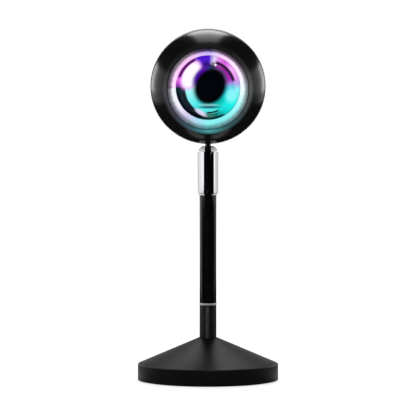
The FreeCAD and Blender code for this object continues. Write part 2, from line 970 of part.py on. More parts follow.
def make_led_leads():
    """Two wires up from the driver's board and back to the pads on the emitter's board."""
    height = head_centre - chamber_outer - lead_pad_drop
    start = driver_start + lead_start
    low = head_centre + driver_top
    bend = 0.45 * min(height - low, -board_front - start)
    leads = []
    for x in (-lead_half_spacing, lead_half_spacing):
        corner = FreeCAD.Vector(x, start, height)
        rise_end = corner - UP * bend
        run_start = corner + FreeCAD.Vector(0, bend, 0)
        centre = FreeCAD.Vector(x, start + bend, height - bend)
        middle = centre + FreeCAD.Vector(0, -1, 1) * (bend / math.sqrt(2))
        path = Part.Wire([
            Part.makeLine(FreeCAD.Vector(x, start, low), rise_end),
            Part.Arc(rise_end, middle, run_start).toShape(),
            Part.makeLine(run_start, FreeCAD.Vector(x, -board_front, height)),
        ])
        section = Part.Wire([Part.makeCircle(lead_radius, FreeCAD.Vector(x, start, low), UP)])
        leads.append(path.makePipeShell([section], True, False))
    return leads


def make_shell_screws():
    return [
        aimed(screw(
            shell_screw_radius - 0.15, shell_screw_head, shell_screw_head_height,
            shell_screw_reach, -shell_screw_seat, x, y,
        ))
        for x, y in circle_places(post_circle, screw_post_angles)
    ]


# ---- Every piece by its name ----
ball_shell = make_ball_shell()
pieces = {
    "foot_pad": make_foot_pad(),
    "base_plate": make_base_plate(),
    "base_screws": make_base_screws(),
    "base_weight": make_base_weight(),
    "base_shell": make_base_shell(),
    "tie_rod": make_tie_rod(),
    "tie_washer": make_tie_washer(),
    "tie_nut": make_tie_nut(),
    "sleeve_bush": make_sleeve_bush(),
    "lower_sleeve": make_lower_sleeve(),
    "joint_ring": make_joint_ring(),
    "stem_tube": make_stem_tube(),
    "swivel_post": make_swivel_post(),
    "pan_washer": make_pan_washer(),
    "pan_screw": make_pan_screw(),
    "swivel_housing": make_swivel_housing(),
    "swivel_plug": make_swivel_plug(),
    "tension_plug": make_tension_plug(),
    "disc_springs": make_disc_springs(),
    "ball_seat": make_ball_seat(),
    "ball_stud": make_ball_stud(),
    "thrust_washer": make_thrust_washer(),
    "lock_nut": make_lock_nut(),
    "stud_bush": make_stud_bush(),
    "front_shell": make_front_shell(ball_shell),
    "rear_shell": make_rear_shell(ball_shell),
    "shell_screws": make_shell_screws(),
    "light_well": make_light_well(),
    "optics_barrel": make_optics_barrel(),
    "front_lens": make_front_lens(),
    "lens_gasket": make_lens_gasket(),
    "lens_ring": make_lens_ring(),
    "colour_filter": make_colour_filter(),
    "filter_clip": make_filter_clip(),
    "condenser_lens": make_condenser_lens(),
    "condenser_ring": make_condenser_ring(),
    "led_board": make_led_board(),
    "led_emitter": make_led_emitter(),
    "led_screws": make_led_screws(),
    "heat_sink": make_heat_sink(),
    "sink_screws": make_sink_screws(),
    "driver_board": make_driver_board(),
    "driver_parts": make_driver_parts(),
    "board_screws": make_board_screws(),
    "led_leads": make_led_leads(),
    "cable_grommet": make_cable_grommet(),
}

os.makedirs("parts", exist_ok=True)
for name, piece in pieces.items():
    solid = Part.makeCompound(piece) if isinstance(piece, list) else piece
    solid.exportStep("parts/%s.step" % name)
    print(name, len(solid.Solids), "solids", round(solid.Volume, 1), "mm3", "valid", solid.isValid())
print("swivel pivot", round(pivot, 2), "head centre", round(head_centre, 2))
print("height", round(head_centre + head_radius, 2), "lens radius", round(lens_radius, 2))
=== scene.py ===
# %% [markdown]
# # A sunset projection lamp
# The imported model is the fixed frame: every visible piece is drawn round it, in metres and in the same place.
# Loading it first means that nothing has to be fitted by eye later.

# %% Load the fixed frame
import math
import bpy
import bmesh
from mathutils import Matrix, Vector


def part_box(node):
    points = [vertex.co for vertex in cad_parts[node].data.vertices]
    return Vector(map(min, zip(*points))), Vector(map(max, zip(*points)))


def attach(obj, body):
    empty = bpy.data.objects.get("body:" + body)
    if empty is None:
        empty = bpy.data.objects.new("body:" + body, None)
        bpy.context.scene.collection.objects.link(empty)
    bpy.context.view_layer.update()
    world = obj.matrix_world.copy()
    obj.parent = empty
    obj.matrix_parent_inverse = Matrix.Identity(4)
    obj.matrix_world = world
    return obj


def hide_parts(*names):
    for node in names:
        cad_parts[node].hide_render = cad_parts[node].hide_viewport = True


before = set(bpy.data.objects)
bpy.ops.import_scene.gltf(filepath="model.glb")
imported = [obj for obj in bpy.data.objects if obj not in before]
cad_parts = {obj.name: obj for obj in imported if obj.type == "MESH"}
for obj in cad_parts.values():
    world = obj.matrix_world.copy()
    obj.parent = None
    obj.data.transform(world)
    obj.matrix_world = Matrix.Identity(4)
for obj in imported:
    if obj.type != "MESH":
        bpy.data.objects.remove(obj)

bpy.context.view_layer.update()

# %% [markdown]
# ## The camera
# The photograph was taken from far away, with hardly any perspective, 4.6 degrees above level. A long lens six
# metres away gives that. One pixel of the 416 pixel picture is 0.69 mm on the lamp, and the middle of the picture
# lies 119.4 mm above the table.

# %% Camera
def link(name, data):
    """Makes an object of the scene from a mesh, a lamp or a camera."""
    thing = bpy.data.objects.new(name, data)
    bpy.context.scene.collection.objects.link(thing)
    return thing


pixel = 0.00069
picture_width = 416 * pixel
sensor_width = 36
camera_distance = 6.0
camera_rise = math.radians(4.6)
aim = Vector((0, 0, 0.1194))

lens_data = bpy.data.cameras.new("camera")
lens_data.sensor_width = sensor_width
lens_data.lens = sensor_width * camera_distance / picture_width
lens_data.clip_end = 60
camera = link("camera", lens_data)
away = Vector((0, -math.cos(camera_rise), math.sin(camera_rise)))
camera.location = aim + away * camera_distance
camera.rotation_euler = (-away).to_track_quat("-Z", "Y").to_euler()
bpy.context.scene.camera = camera
bpy.context.scene.view_settings.view_transform = "Standard"
print("lens", round(lens_data.lens), "mm")

# %% [markdown]
# ## Sizes from the frame
# Most pieces of this lamp were turned on a lathe or moulded round one axis, so a profile is enough to draw them.
# The main sizes come from the boxes of the CAD nodes, in millimetres, so that a drawn piece can't drift from the
# solid that it stands for.

# %% Measure the frame
def box_mm(node):
    """Two corners of a node's box, in millimetres."""
    low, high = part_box(node)
    return low * 1000, high * 1000


base_radius = box_mm("base_shell")[1].x
rim_low, apex = box_mm("base_shell")[0].z, box_mm("base_shell")[1].z
stem_radius = box_mm("stem_tube")[1].x
tube_low, tube_top = box_mm("stem_tube")[0].z, box_mm("stem_tube")[1].z
sleeve_low, sleeve_top = box_mm("lower_sleeve")[0].z, box_mm("lower_sleeve")[1].z
ring_radius = box_mm("joint_ring")[1].x
housing_low = box_mm("swivel_housing")[0].z
housing_radius = box_mm("swivel_housing")[1].x
ball_radius = 4.5
pivot = box_mm("ball_stud")[0].z + ball_radius
head_radius = box_mm("rear_shell")[1].x
head_centre = box_mm("rear_shell")[1].z - head_radius
face = -box_mm("front_shell")[0].y
print("base", base_radius, "stem", stem_radius, "pivot", round(pivot, 2), "head", head_radius, round(head_centre, 2))

# %% [markdown]
# ## Turning a profile
# A lathe piece is a profile of (radius, height) corners spun round an axis. Real edges are never sharp: each is
# broken by a file, a mould or a layer of paint. So a corner may carry a third number, its rounding in
# millimetres, and the helper puts a small arc there. That thin arc is what catches the light.

# %% Lathe helper
def soften(corners, steps=4):
    """Closed profile with an arc at each corner that gives a rounding."""
    points = []
    for index, corner in enumerate(corners):
        here = Vector(corner[:2])
        rounding = corner[2] if len(corner) > 2 else 0
        if not rounding:
            points.append(here)
            continue
        back = (Vector(corners[index - 1][:2]) - here).normalized()
        ahead = (Vector(corners[(index + 1) % len(corners)][:2]) - here).normalized()
        half = back.angle(ahead) / 2
        reach = rounding / math.tan(half)
        centre = here + (back + ahead).normalized() * (rounding / math.sin(half))
        start, end = here + back * reach - centre, here + ahead * reach - centre
        for step in range(steps + 1):
            points.append(centre + rounding * start.slerp(end, step / steps).normalized())
    return points


def arc(radius, start, end, steps, centre=0.0):
    """Points of a circle round (0, centre); angles are in degrees from the axis."""
    angles = [math.radians(start + (end - start) * step / steps) for step in range(steps + 1)]
    return [(radius * math.sin(a), centre + radius * math.cos(a)) for a in angles]


def from_bmesh(name, work):
    """Turns the working mesh into an object of the scene."""
    mesh = bpy.data.meshes.new(name)
    work.to_mesh(mesh)
    work.free()
    return link(name, mesh)


def settle(piece):
    """Applies the modifiers of a piece."""
    graph = bpy.context.evaluated_depsgraph_get()
    mesh = bpy.data.meshes.new_from_object(piece.evaluated_get(graph))
    piece.modifiers.clear()
    piece.data = mesh


def smooth(piece, angle=35):
    """Smooth shading where large faces set the normals, so that a long wall stays straight next to a small arc."""
    piece.data.shade_smooth()
    piece.data.set_sharp_from_angle(angle=math.radians(angle))
    weighted = piece.modifiers.new("weighted", "WEIGHTED_NORMAL")
    weighted.keep_sharp = True
    settle(piece)


def turn(name, corners, segments=160, place=None):
    """Solid of revolution in millimetres about +Z; place is a matrix in metres."""
    points = soften(corners)
    work = bmesh.new()
    rings = []
    for point in points:
        if point[0] < 1e-6:
            rings.append([work.verts.new((0, 0, point[1]))] * segments)
            continue
        rings.append([
            work.verts.new((point[0] * math.cos(a), point[0] * math.sin(a), point[1]))
            for a in (2 * math.pi * index / segments for index in range(segments))
        ])
    for ring, following in zip(rings, rings[1:] + rings[:1]):
        for index in range(segments):
            after = (index + 1) % segments
            quad = [ring[index], ring[after], following[after], following[index]]
            corners_used = list(dict.fromkeys(quad))
            if len(corners_used) > 2:
                work.faces.new(corners_used)
    bmesh.ops.recalc_face_normals(work, faces=work.faces)
    work.transform(Matrix.Scale(0.001, 4))
    if place:
        work.transform(place)
    piece = from_bmesh(name, work)
    smooth(piece)
    return piece


optical_axis = Matrix.Translation((0, 0, head_centre / 1000)) @ Matrix.Rotation(math.pi / 2, 4, "X")
print("optical axis", round(head_centre, 2), "mm above the table")

# %% [markdown]
# ## Cutting holes
# Slots, vents and screw wells are cut after turning, as a mill or a mould core would. A boolean modifier does
# the cut, and the result becomes a plain mesh, so that no helper object stays.

# %% Cutting helper
merge_distance = 8e-6


def clean(piece):
    """Merges points a few micrometres apart, and takes out the slivers and pinholes that a cut leaves."""
    work = bmesh.new()
    work.from_mesh(piece.data)
    bmesh.ops.remove_doubles(work, verts=work.verts, dist=merge_distance)
    bmesh.ops.dissolve_degenerate(work, edges=work.edges, dist=merge_distance)
    bmesh.ops.triangulate(work, faces=[face for face in work.faces if len(face.verts) > 4])
    bmesh.ops.dissolve_degenerate(work, edges=work.edges, dist=merge_distance)
    twins = {}
    for face in work.faces:
        twins.setdefault(frozenset(face.verts), []).append(face)
    doubled = [face for same in twins.values() if len(same) > 1 for face in same]
    bmesh.ops.delete(work, geom=doubled, context="FACES")
    bmesh.ops.holes_fill(work, edges=[edge for edge in work.edges if edge.is_boundary], sides=6)
    work.to_mesh(piece.data)
    work.free()


def combine(piece, tools, operation="DIFFERENCE"):
    """Cuts or joins the tools and removes them."""
    for tool in tools:
        step = piece.modifiers.new("step", "BOOLEAN")
        step.operation = operation
        step.solver = "EXACT"
        step.object = tool
        settle(piece)
        bpy.data.objects.remove(tool)
    clean(piece)
    smooth(piece)


def stadium(name, width, low, high, depth_start, depth_end, middle=0.0):
    """Bar with round ends along Z that runs through Y, in millimetres, for slots and vents."""
    steps = 16
    radius = width / 2
    outline = []
    for centre, first in ((high - radius, 0), (low + radius, math.pi)):
        for step in range(steps + 1):
            a = first + math.pi * step / steps
            outline.append((middle + radius * math.cos(a), centre + radius * math.sin(a)))
    work = bmesh.new()
    near = [work.verts.new((x, depth_start, z)) for x, z in outline]
    far = [work.verts.new((x, depth_end, z)) for x, z in outline]
    work.faces.new(near)
    work.faces.new(far)
    for index in range(len(outline)):
        after = (index + 1) % len(outline)
        work.faces.new([near[index], near[after], far[after], far[index]])
    bmesh.ops.recalc_face_normals(work, faces=work.faces)
    work.transform(Matrix.Scale(0.001, 4))
    return from_bmesh(name, work)


# %% [markdown]
# ## Nodes and colours
# Colours are written as the sRGB hex values that a paint chart or a colour picker shows. Cycles works with
# linear light, so one function turns them. One small function adds a shader node with its settings and links,
# and every material below is built from it.

# %% Colour and node helpers
def colour(hex_code):
    """sRGB hex to a linear colour."""
    channels = [int(hex_code[i:i + 2], 16) / 255 for i in (1, 3, 5)]
    return [c / 12.92 if c <= 0.04045 else ((c + 0.055) / 1.055) ** 2.4 for c in channels] + [1.0]


def add(tree, kind, inputs=None, stops=(), **settings):
    """Adds a node. inputs are its sockets, each a value or another node's output; stops are a colour ramp's
    (place, colour) pairs; settings are its options."""
    node = tree.nodes.new("ShaderNode" + kind)
    for name, value in settings.items():
        setattr(node, name, value)
    for name, value in (inputs or {}).items():
        if isinstance(value, bpy.types.NodeSocket):
            tree.links.new(value, node.inputs[name])
        else:
            node.inputs[name].default_value = value
    for _ in stops[2:]:
        node.color_ramp.elements.new(0.5)
    for count, (place, value) in enumerate(stops):
        node.color_ramp.elements[count].position = place
        node.color_ramp.elements[count].color = value
    return node


def start_material(name, metallic=0.0, ior=1.5, **sockets):
    """A material with its shader; constant values go straight on the shader's own sockets."""
    material = bpy.data.materials.new(name)
    material.use_nodes = True
    tree = material.node_tree
    shader = tree.nodes["Principled BSDF"]
    shader.inputs["Metallic"].default_value = metallic
    shader.inputs["IOR"].default_value = ior
    for socket, value in sockets.items():
        shader.inputs[socket.replace("_", " ")].default_value = value
    return material, tree, shader


print("sRGB #808080 is", round(colour("#808080")[0], 3), "in linear light")

# %% [markdown]
# ## A surface with grain
# Most finishes here share one recipe: a first noise shifts the colour a little from place to place, and a second,
# much finer one changes the roughness together with the first and moves the surface up and down as a bump. What
# differs is the scale, which comes from the real size of the grain in millimetres, and whether the grain is
# stretched one way by drawing, turning or brushing. In the recipe, cloud is the slow change of colour, and the bump
# is the depth of the grain. A second helper puts a finish on a drawn piece, hangs it on its body and hides the CAD
# node that the piece stands for.

# %% Grain recipe
def grained(name, dark, light, rough, grain_mm, depth_mm, cloud_mm=9.0, stretch=(1, 1, 1), **shader_values):
    """A finish between two colours; rough holds its lowest and highest roughness."""
    material, tree, shader = start_material(name, **shader_values)
    place = add(tree, "TexCoord").outputs["Object"]
    along = add(tree, "Mapping", {"Vector": place, "Scale": stretch}).outputs["Vector"]
    cloud = add(tree, "TexNoise", {"Vector": place, "Scale": 1000 / cloud_mm, "Detail": 3.0}).outputs["Fac"]
    grain = add(tree, "TexNoise", {"Vector": along, "Scale": 1000 / grain_mm, "Detail": 2.0}).outputs["Fac"]
    blend = add(tree, "Mix", {0: cloud, 6: colour(dark), 7: colour(light)}, data_type="RGBA").outputs[2]
    tree.links.new(blend, shader.inputs["Base Color"])
    patchy = add(tree, "Math", {0: cloud, 1: grain}, operation="ADD").outputs[0]
    dull = add(tree, "MapRange", {
        "Value": patchy, "From Min": 0.6, "From Max": 1.4, "To Min": rough[0], "To Max": rough[1],
    }).outputs[0]
    tree.links.new(dull, shader.inputs["Roughness"])
    bump = add(tree, "Bump", {"Height": grain, "Distance": depth_mm / 1000, "Strength": 0.6}).outputs["Normal"]
    tree.links.new(bump, shader.inputs["Normal"])
    return material


def dress(piece, material, body, replaces):
    """Gives a drawn piece its finish and its body, and hides the CAD node that it stands for."""
    piece.data.materials.clear()
    piece.data.materials.append(material)
    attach(piece, body)
    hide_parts(replaces)
    print(piece.name, len(piece.data.vertices), "vertices,", material.name)


# %% [markdown]
# ## Black powder coat: the base
# The base is a pressed steel shell with a satin black powder coat. Powder melts into a skin that is never quite
# flat: it keeps an orange peel of about a millimetre, and it is thinner, and so a little glossier and greyer, on
# the outer rim, where hands lift the lamp. Bare black paint is a dark warm grey, not zero, and the low specular
# level stands for the matting agent in the powder.

# %% Powder-coated steel
powder_coat, tree, shader = start_material("satin_black_powder_coat", Specular_IOR_Level=0.07)
place = add(tree, "TexCoord").outputs["Object"]
peel = add(tree, "TexNoise", {"Vector": place, "Scale": 1000 / 1.1, "Detail": 1.0}).outputs["Fac"]
speck = add(tree, "TexNoise", {"Vector": place, "Scale": 1000 / 0.35, "Detail": 2.0}).outputs["Fac"]
cloud = add(tree, "TexNoise", {"Vector": place, "Scale": 1000 / 14, "Detail": 4.0}).outputs["Fac"]
flat = add(tree, "VectorMath", {0: place, 1: (1, 1, 0)}, operation="MULTIPLY").outputs["Vector"]
radius_here = add(tree, "VectorMath", {0: flat}, operation="LENGTH").outputs["Value"]
height = add(tree, "SeparateXYZ", {"Vector": place}).outputs["Z"]
near_rim = add(tree, "MapRange", {
    "Value": radius_here, "From Min": (base_radius - 1.1) / 1000, "From Max": (base_radius - 0.1) / 1000,
}, interpolation_type="SMOOTHSTEP").outputs[0]
near_shoulder = add(tree, "MapRange", {
    "Value": height, "From Min": (rim_low + 10.4) / 1000, "From Max": (rim_low + 11.0) / 1000,
}, interpolation_type="SMOOTHSTEP").outputs[0]
rubbed = add(tree, "Math", {0: near_rim, 1: near_shoulder}, operation="MULTIPLY").outputs[0]
worn = add(tree, "Math", {0: rubbed, 1: cloud}, operation="MULTIPLY").outputs[0]
tone = add(tree, "Mix", {0: cloud, 6: colour("#0c0b0c"), 7: colour("#131213")}, data_type="RGBA").outputs[2]
tone = add(tree, "Mix", {0: worn, 6: tone, 7: colour("#343336")}, data_type="RGBA").outputs[2]
tree.links.new(tone, shader.inputs["Base Color"])
dull = add(tree, "MapRange", {
    "Value": speck, "From Min": 0.3, "From Max": 0.7, "To Min": 0.40, "To Max": 0.52,
}).outputs[0]
polished = add(tree, "Math", {0: worn, 1: -0.2, 2: dull}, operation="MULTIPLY_ADD").outputs[0]
tree.links.new(polished, shader.inputs["Roughness"])
relief = add(tree, "Mix", {0: 0.35, 2: peel, 3: speck}).outputs[0]
bump = add(tree, "Bump", {"Height": relief, "Distance": 0.00006, "Strength": 0.5}).outputs["Normal"]
tree.links.new(bump, shader.inputs["Normal"])
print(powder_coat.name, "has", len(tree.nodes), "nodes")

# %% [markdown]
# ## The base shell and its foot
# A thin cone stands on a short straight rim. The rim's upper edge is rolled over with a radius of about 0.9 mm,
# and its lower edge stays half a millimetre off the table, because the lamp stands on a smaller disc of foam.
# One turned profile draws both. The cone is hollow, as the pressing is.

# %% Base shell
rim_top = rim_low + 11.1
cone_top = 6.5
rod_hole = 3.15
wall = 1.2
slope = (apex - rim_top) / (base_radius - cone_top)
inside_drop = wall * math.hypot(1, slope)
inner_rim = base_radius - wall
inner_apex = inner_rim - (apex - wall - (rim_top + wall * slope - inside_drop)) / slope
base_shell = turn("base_shell_skin", [
    (inner_rim, rim_low, 0.2),
    (base_radius, rim_low, 0.35),
    (base_radius, rim_top, 0.9),
    (cone_top, apex, 0.3),
    (rod_hole, apex),
    (rod_hole, apex - wall),
    (inner_apex, apex - wall),
    (inner_rim, rim_top + wall * slope - inside_drop),
], segments=224)
dress(base_shell, powder_coat, "stand", "base_shell")

# %% [markdown]
# ## Foam under the foot
# A closed-cell foam disc keeps the lamp from sliding. Its cells are about a quarter of a millimetre across,
# which gives a dull, slightly pitted surface with no gloss at all.

# %% Foam pad
foam = grained(
    "closed_cell_foam", "#101010", "#1c1c1c", (0.85, 0.98), grain_mm=0.28, depth_mm=0.12, Specular_IOR_Level=0.2
)
pad_radius = box_mm("foot_pad")[1].x
pad_top = box_mm("foot_pad")[1].z
foot_pad = turn("foot_pad_foam", [
    (0, 0), (pad_radius, 0, 0.3), (pad_radius, pad_top, 0.25), (0, pad_top),
], segments=128)
dress(foot_pad, foam, "stand", "foot_pad")

# %% [markdown]
# ## The stem
# The lowest fifth of the stem is a satin sleeve over a bush, and the rest is a gloss enamelled tube. A pale nickel
# ring covers the joint between the two. Both tubes are drawn steel. The sleeve keeps the fine upright lines of
# drawing under its thin satin paint, so its grain is stretched along Z: a small stretch value makes the noise
# change slowly that way.

# %% Satin sleeve
sleeve_paint = grained(
    "satin_black_on_drawn_tube", "#0e0e10", "#151517", (0.28, 0.36), grain_mm=0.5, depth_mm=0.004,
    stretch=(1, 1, 0.06), Specular_IOR_Level=0.4,
)
stem_bore = stem_radius - 1
sleeve = turn("lower_sleeve_tube", [
    (stem_bore, sleeve_low), (stem_radius, sleeve_low, 0.15), (stem_radius, sleeve_top, 0.25), (stem_bore, sleeve_top),
])
dress(sleeve, sleeve_paint, "stand", "lower_sleeve")

# %% [markdown]
# Gloss enamel levels out as it dries, so its waves are long and very shallow, about three millimetres across,
# and its roughness is low. Only a few faint handling marks change the gloss.

# %% Gloss tube
enamel = grained(
    "gloss_black_enamel", "#050506", "#09090a", (0.06, 0.13), grain_mm=3.0, depth_mm=0.012, cloud_mm=18,
    Specular_IOR_Level=0.45,
)
tube = turn("stem_tube_enamelled", [
    (stem_bore, tube_low), (stem_radius, tube_low, 0.2), (stem_radius, tube_top, 0.2), (stem_bore, tube_top),
])
dress(tube, enamel, "stand", "stem_tube")

# %% [markdown]
# The ring is turned brass with satin nickel over it. The lathe leaves lines round it, a few hundredths apart.
# They are drawn five times coarser here, about 0.2 mm, so that they show at all. A metal's colour is its base
# colour, and nickel is a warm light grey. Its satin is a dense field of tiny pits that scatter light like a pale
# surface, so the metallic value is only a little above one half.

# %% Nickel ring
nickel = grained(
    "satin_nickel_turned", "#b0aea9", "#c4c2bc", (0.38, 0.5), grain_mm=0.2, depth_mm=0.01,
    stretch=(0.03, 0.03, 1), metallic=0.55,
)
spigot = 4.7
spigot_low, spigot_top = sleeve_top - 6, tube_low + 6
joint_ring = turn("joint_ring_nickel", [
    (rod_hole, spigot_low), (spigot, spigot_low, 0.2), (spigot, sleeve_top),
    (ring_radius, sleeve_top, 0.25), (ring_radius, tube_low, 0.25), (spigot, tube_low),
    (spigot, spigot_top, 0.2), (rod_hole, spigot_top),
])
dress(joint_ring, nickel, "stand", "joint_ring")

# %% [markdown]
# ## Chrome: the ball swivel
# The housing is turned steel, polished and chrome plated. Chrome is almost a mirror: its look is the room round
# it, dark where the room is dark. Real chrome is a little hazy from polishing, so the roughness is not zero,
# and handling leaves faint smears of about six millimetres. The polishing marks run round the housing. They are
# too fine to see, and are drawn 0.6 mm wide so that a render holds them.

# %% Chrome
chrome_plate = {
    "dark": "#c3c5c8", "light": "#cfd1d3", "rough": (0.03, 0.085), "grain_mm": 0.6, "depth_mm": 0.002, "cloud_mm": 6,
    "stretch": (0.2, 0.2, 1), "metallic": 1.0,
}
chrome = grained("polished_chrome_plate", **chrome_plate)
print(chrome.name, "has", len(chrome.node_tree.nodes), "nodes")

# %% [markdown]
# The polishing wheel can't reach the dome between the slot and the ball, so the dome stays frosted from bead
# blasting: it scatters light like a pale surface more than it mirrors. The same recipe is used, and from the wall
# up to the dome the roughness rises and the metallic value falls.

# %% Chrome of the housing
chrome_housing = grained("chrome_plate_with_frosted_dome", **chrome_plate)
tree = chrome_housing.node_tree
shader = tree.nodes["Principled BSDF"]
polished = shader.inputs["Roughness"].links[0].from_socket
height = add(tree, "SeparateXYZ", {"Vector": add(tree, "TexCoord").outputs["Object"]}).outputs["Z"]
frost_low, frost_high = pivot + 2.9, pivot + 3.7
frosted = add(tree, "MapRange", {
    "Value": height, "From Min": frost_low / 1000, "From Max": frost_high / 1000,
}).outputs[0]
dull = add(tree, "Math", {0: frosted, 1: 0.4, 2: polished}, operation="MULTIPLY_ADD").outputs[0]
tree.links.new(dull, shader.inputs["Roughness"])
mirror = add(tree, "Math", {0: 1.0, 1: frosted}, operation="SUBTRACT").outputs[0]
tree.links.new(mirror, shader.inputs["Metallic"])
plate = shader.inputs["Base Color"].links[0].from_socket
pale = add(tree, "Mix", {0: frosted, 6: plate, 7: colour("#f2f3f4")}, data_type="RGBA").outputs[2]
tree.links.new(pale, shader.inputs["Base Color"])
print("frosted above", round(frost_low, 1), "mm")

# %% [markdown]
# The housing is a cylinder with a domed top. Inside it is bored for the springs and the ball, and a slot runs down
# its front from the dome to just below the middle of the ball, so that the neck can fold down through it. The slot
# is cut with a bar that has round ends, and the bevel that follows is 0.12 mm, as a deburring wheel leaves.

# %% Swivel housing
dome_radius = housing_radius + 0.7
bore = 5.75
cavity = ball_radius + 0.12
shoulder = pivot - 2.4
mouth_inside, mouth_outside = 3.25, 4.2
slot_width, slot_depth = 4.4, 2.2
dome_start = math.degrees(math.asin((housing_radius - 0.05) / dome_radius))
mouth_start = math.degrees(math.asin(mouth_outside / dome_radius))
housing = turn("swivel_housing_chrome", [
    (bore, housing_low, 0.15),
    (housing_radius, housing_low, 0.3),
    (housing_radius, pivot + math.sqrt(dome_radius ** 2 - housing_radius ** 2), 1.6),
    *arc(dome_radius, dome_start - 8, mouth_start, 14, pivot),
    *arc(cavity, math.degrees(math.asin(mouth_inside / cavity)), 90, 12, pivot),
    (cavity, shoulder),
    (bore, shoulder),
], segments=144)
combine(housing, [stadium("slot_cut", slot_width, pivot - slot_depth, pivot + 14, -9, 0)])
edge = housing.modifiers.new("edge", "BEVEL")
edge.width = 0.00012
edge.segments = 2
edge.limit_method = "ANGLE"
edge.angle_limit = math.radians(50)
settle(housing)
clean(housing)
smooth(housing, 40)
dress(housing, chrome_housing, "swivel", "swivel_housing")

# %% [markdown]
# The post's flange is the thin collar between the tube and the swivel. It is the same chrome, with its edges
# broken by 0.25 mm. Above it, the post itself is hidden in the swivel.

# %% Swivel post
flange_radius = box_mm("swivel_post")[1].x
flange_top = tube_top + 1.3
post_low, post_top = box_mm("swivel_post")[0].z, box_mm("swivel_post")[1].z
post_spigot, axle = 4.75, 3.5
rod_bore, rod_end = 3.05, post_low + 9.0
screw_bore, screw_end = 1.55, post_top - 5.8
post = turn("swivel_post_chrome", [
    (rod_bore, post_low), (post_spigot, post_low, 0.2), (post_spigot, tube_top),
    (flange_radius, tube_top, 0.25), (flange_radius, flange_top, 0.3), (axle, flange_top),
    (axle, post_top, 0.2), (screw_bore, post_top), (screw_bore, screw_end), (0, screw_end),
    (0, rod_end), (rod_bore, rod_end),
])
dress(post, chrome, "stand", "swivel_post")

# %% [markdown]
# ## Black nickel: the ball stud
# The stud that carries the head is plated with black nickel, a dark mirror with a slight brown cast. Its ball
# sits in the nylon cup, and a small radius joins the ball to the neck, where a sharp corner would crack.

# %% Ball stud
black_nickel = grained(
    "black_nickel_plate", "#2b2a2c", "#3a393b", (0.10, 0.2), grain_mm=0.3, depth_mm=0.004,
    stretch=(0.1, 0.1, 1), metallic=1.0,
)
stud_top = box_mm("ball_stud")[1].z
collar_low = head_centre - head_radius + 0.2
collar_top = collar_low + 1.1
neck, collar, shank = 1.95, 2.9, 2.0
neck_start = math.degrees(math.asin(neck / ball_radius))
stud = turn("ball_stud_black_nickel", [
    *arc(ball_radius, 180, neck_start + 4, 30, pivot),
    (neck, pivot + ball_radius * math.cos(math.radians(neck_start)) + 0.3, 0.3),
    (neck, collar_low, 0.1),
    (collar, collar_low, 0.2),
    (collar, collar_top, 0.1),
    (shank, collar_top),
    (shank, stud_top, 0.3),
    (0, stud_top),
], segments=96)
dress(stud, black_nickel, "ball_stud", "ball_stud")

# %% [markdown]
# ## Moulded ABS: the head's two shells
# The ball is moulded in black ABS. The mould was spark-eroded, which prints a fine, even grain of about a third
# of a millimetre, and makes a satin surface whose highlights are soft but still have an edge. The specular level
# is below the usual one because the grain traps part of the reflection.

# %% Black ABS
black_abs = grained(
    "black_abs_spark_grain", "#0c0c0d", "#131314", (0.16, 0.25), grain_mm=0.34, depth_mm=0.012, cloud_mm=22,
    Specular_IOR_Level=0.1,
)
print(black_abs.name, "has", len(black_abs.node_tree.nodes), "nodes")

# %% [markdown]
# The front shell runs from its open mouth back to the seam round the ball's middle. The mouth has a narrow flat
# land. The seam is a shallow V, half of it on each shell. The hole for the neck lies on the seam at the bottom,
# so each shell has half of it.

# %% Front shell
inner_radius = head_radius - 2.2
mouth = 28.19
seam = 0.35
face_angle = math.degrees(math.acos(face / head_radius))
seam_angle = math.degrees(math.acos(seam / head_radius))
inner_mouth = math.degrees(math.asin(mouth / inner_radius))
front_shell = turn("front_shell_abs", [
    (mouth, face, 0.22),
    (head_radius * math.sin(math.radians(face_angle)), face, 0.2),
    *arc(head_radius, face_angle + 0.6, seam_angle, 60),
    (head_radius - seam, 0.0),
    (inner_radius, 0.0),
    *arc(inner_radius, 90, inner_mouth, 24)[1:],
], segments=224, place=optical_axis)


def neck_hole():
    """Bar that cuts the hole for the neck."""
    radius, low, high = 3.2, head_centre - head_radius - 2, head_centre - 30
    return turn("neck_hole", [(0, low), (radius, low), (radius, high), (0, high)], segments=64)


combine(front_shell, [neck_hole()])
dress(front_shell, black_abs, "head", "front_shell")

# %% [markdown]
# The rear shell is the other half, with three long screws that go down wells. Each well is a post inside the shell,
# joined to it first and bored afterwards, the way a mould core makes it. The post is trimmed to the ball before it
# is joined, so that it doesn't stand out at the back.

# %% Rear shell and its posts
rear_shell = turn("rear_shell_abs", [
    *arc(head_radius, seam_angle, 0, 90),
    *arc(inner_radius, 0, 90, 60)[:-1],
    (inner_radius, 0.0),
    (head_radius - seam, 0.0),
], segments=224, place=optical_axis @ Matrix.Rotation(math.pi, 4, "X"))

post_circle = 31.99
post_radius, well_bore, screw_hole = 4.0, 2.6, 1.5
screw_spots = [
    (post_circle * math.cos(math.radians(a)), post_circle * math.sin(math.radians(a))) for a in (90, 210, 330)
]


def along_axis(name, radius, front, back, x, z, segments=48):
    """Round bar parallel to the optical axis, from front to back of the head's centre."""
    bar = [(0, back), (radius, back), (radius, front), (0, front)]
    return turn(name, bar, segments, optical_axis @ Matrix.Translation((x / 1000, z / 1000, 0)))


for x, z in screw_spots:
    screw_post = along_axis("screw_post", post_radius, -1.25, -34, x, z)
    limit = turn("limit", arc(head_radius - 0.8, 0, 180, 48), 96, optical_axis)
    combine(screw_post, [limit], "INTERSECT")
    combine(rear_shell, [screw_post], "UNION")
print("rear shell with its posts", len(rear_shell.data.vertices), "vertices")

# %% [markdown]
# All the openings are then cut at once. Six upright vents lie over the heat sink, 5 mm apart and each as long as a
# circle of 17 mm allows, and a flat with a hole takes the cable grommet at 45 degrees below level.

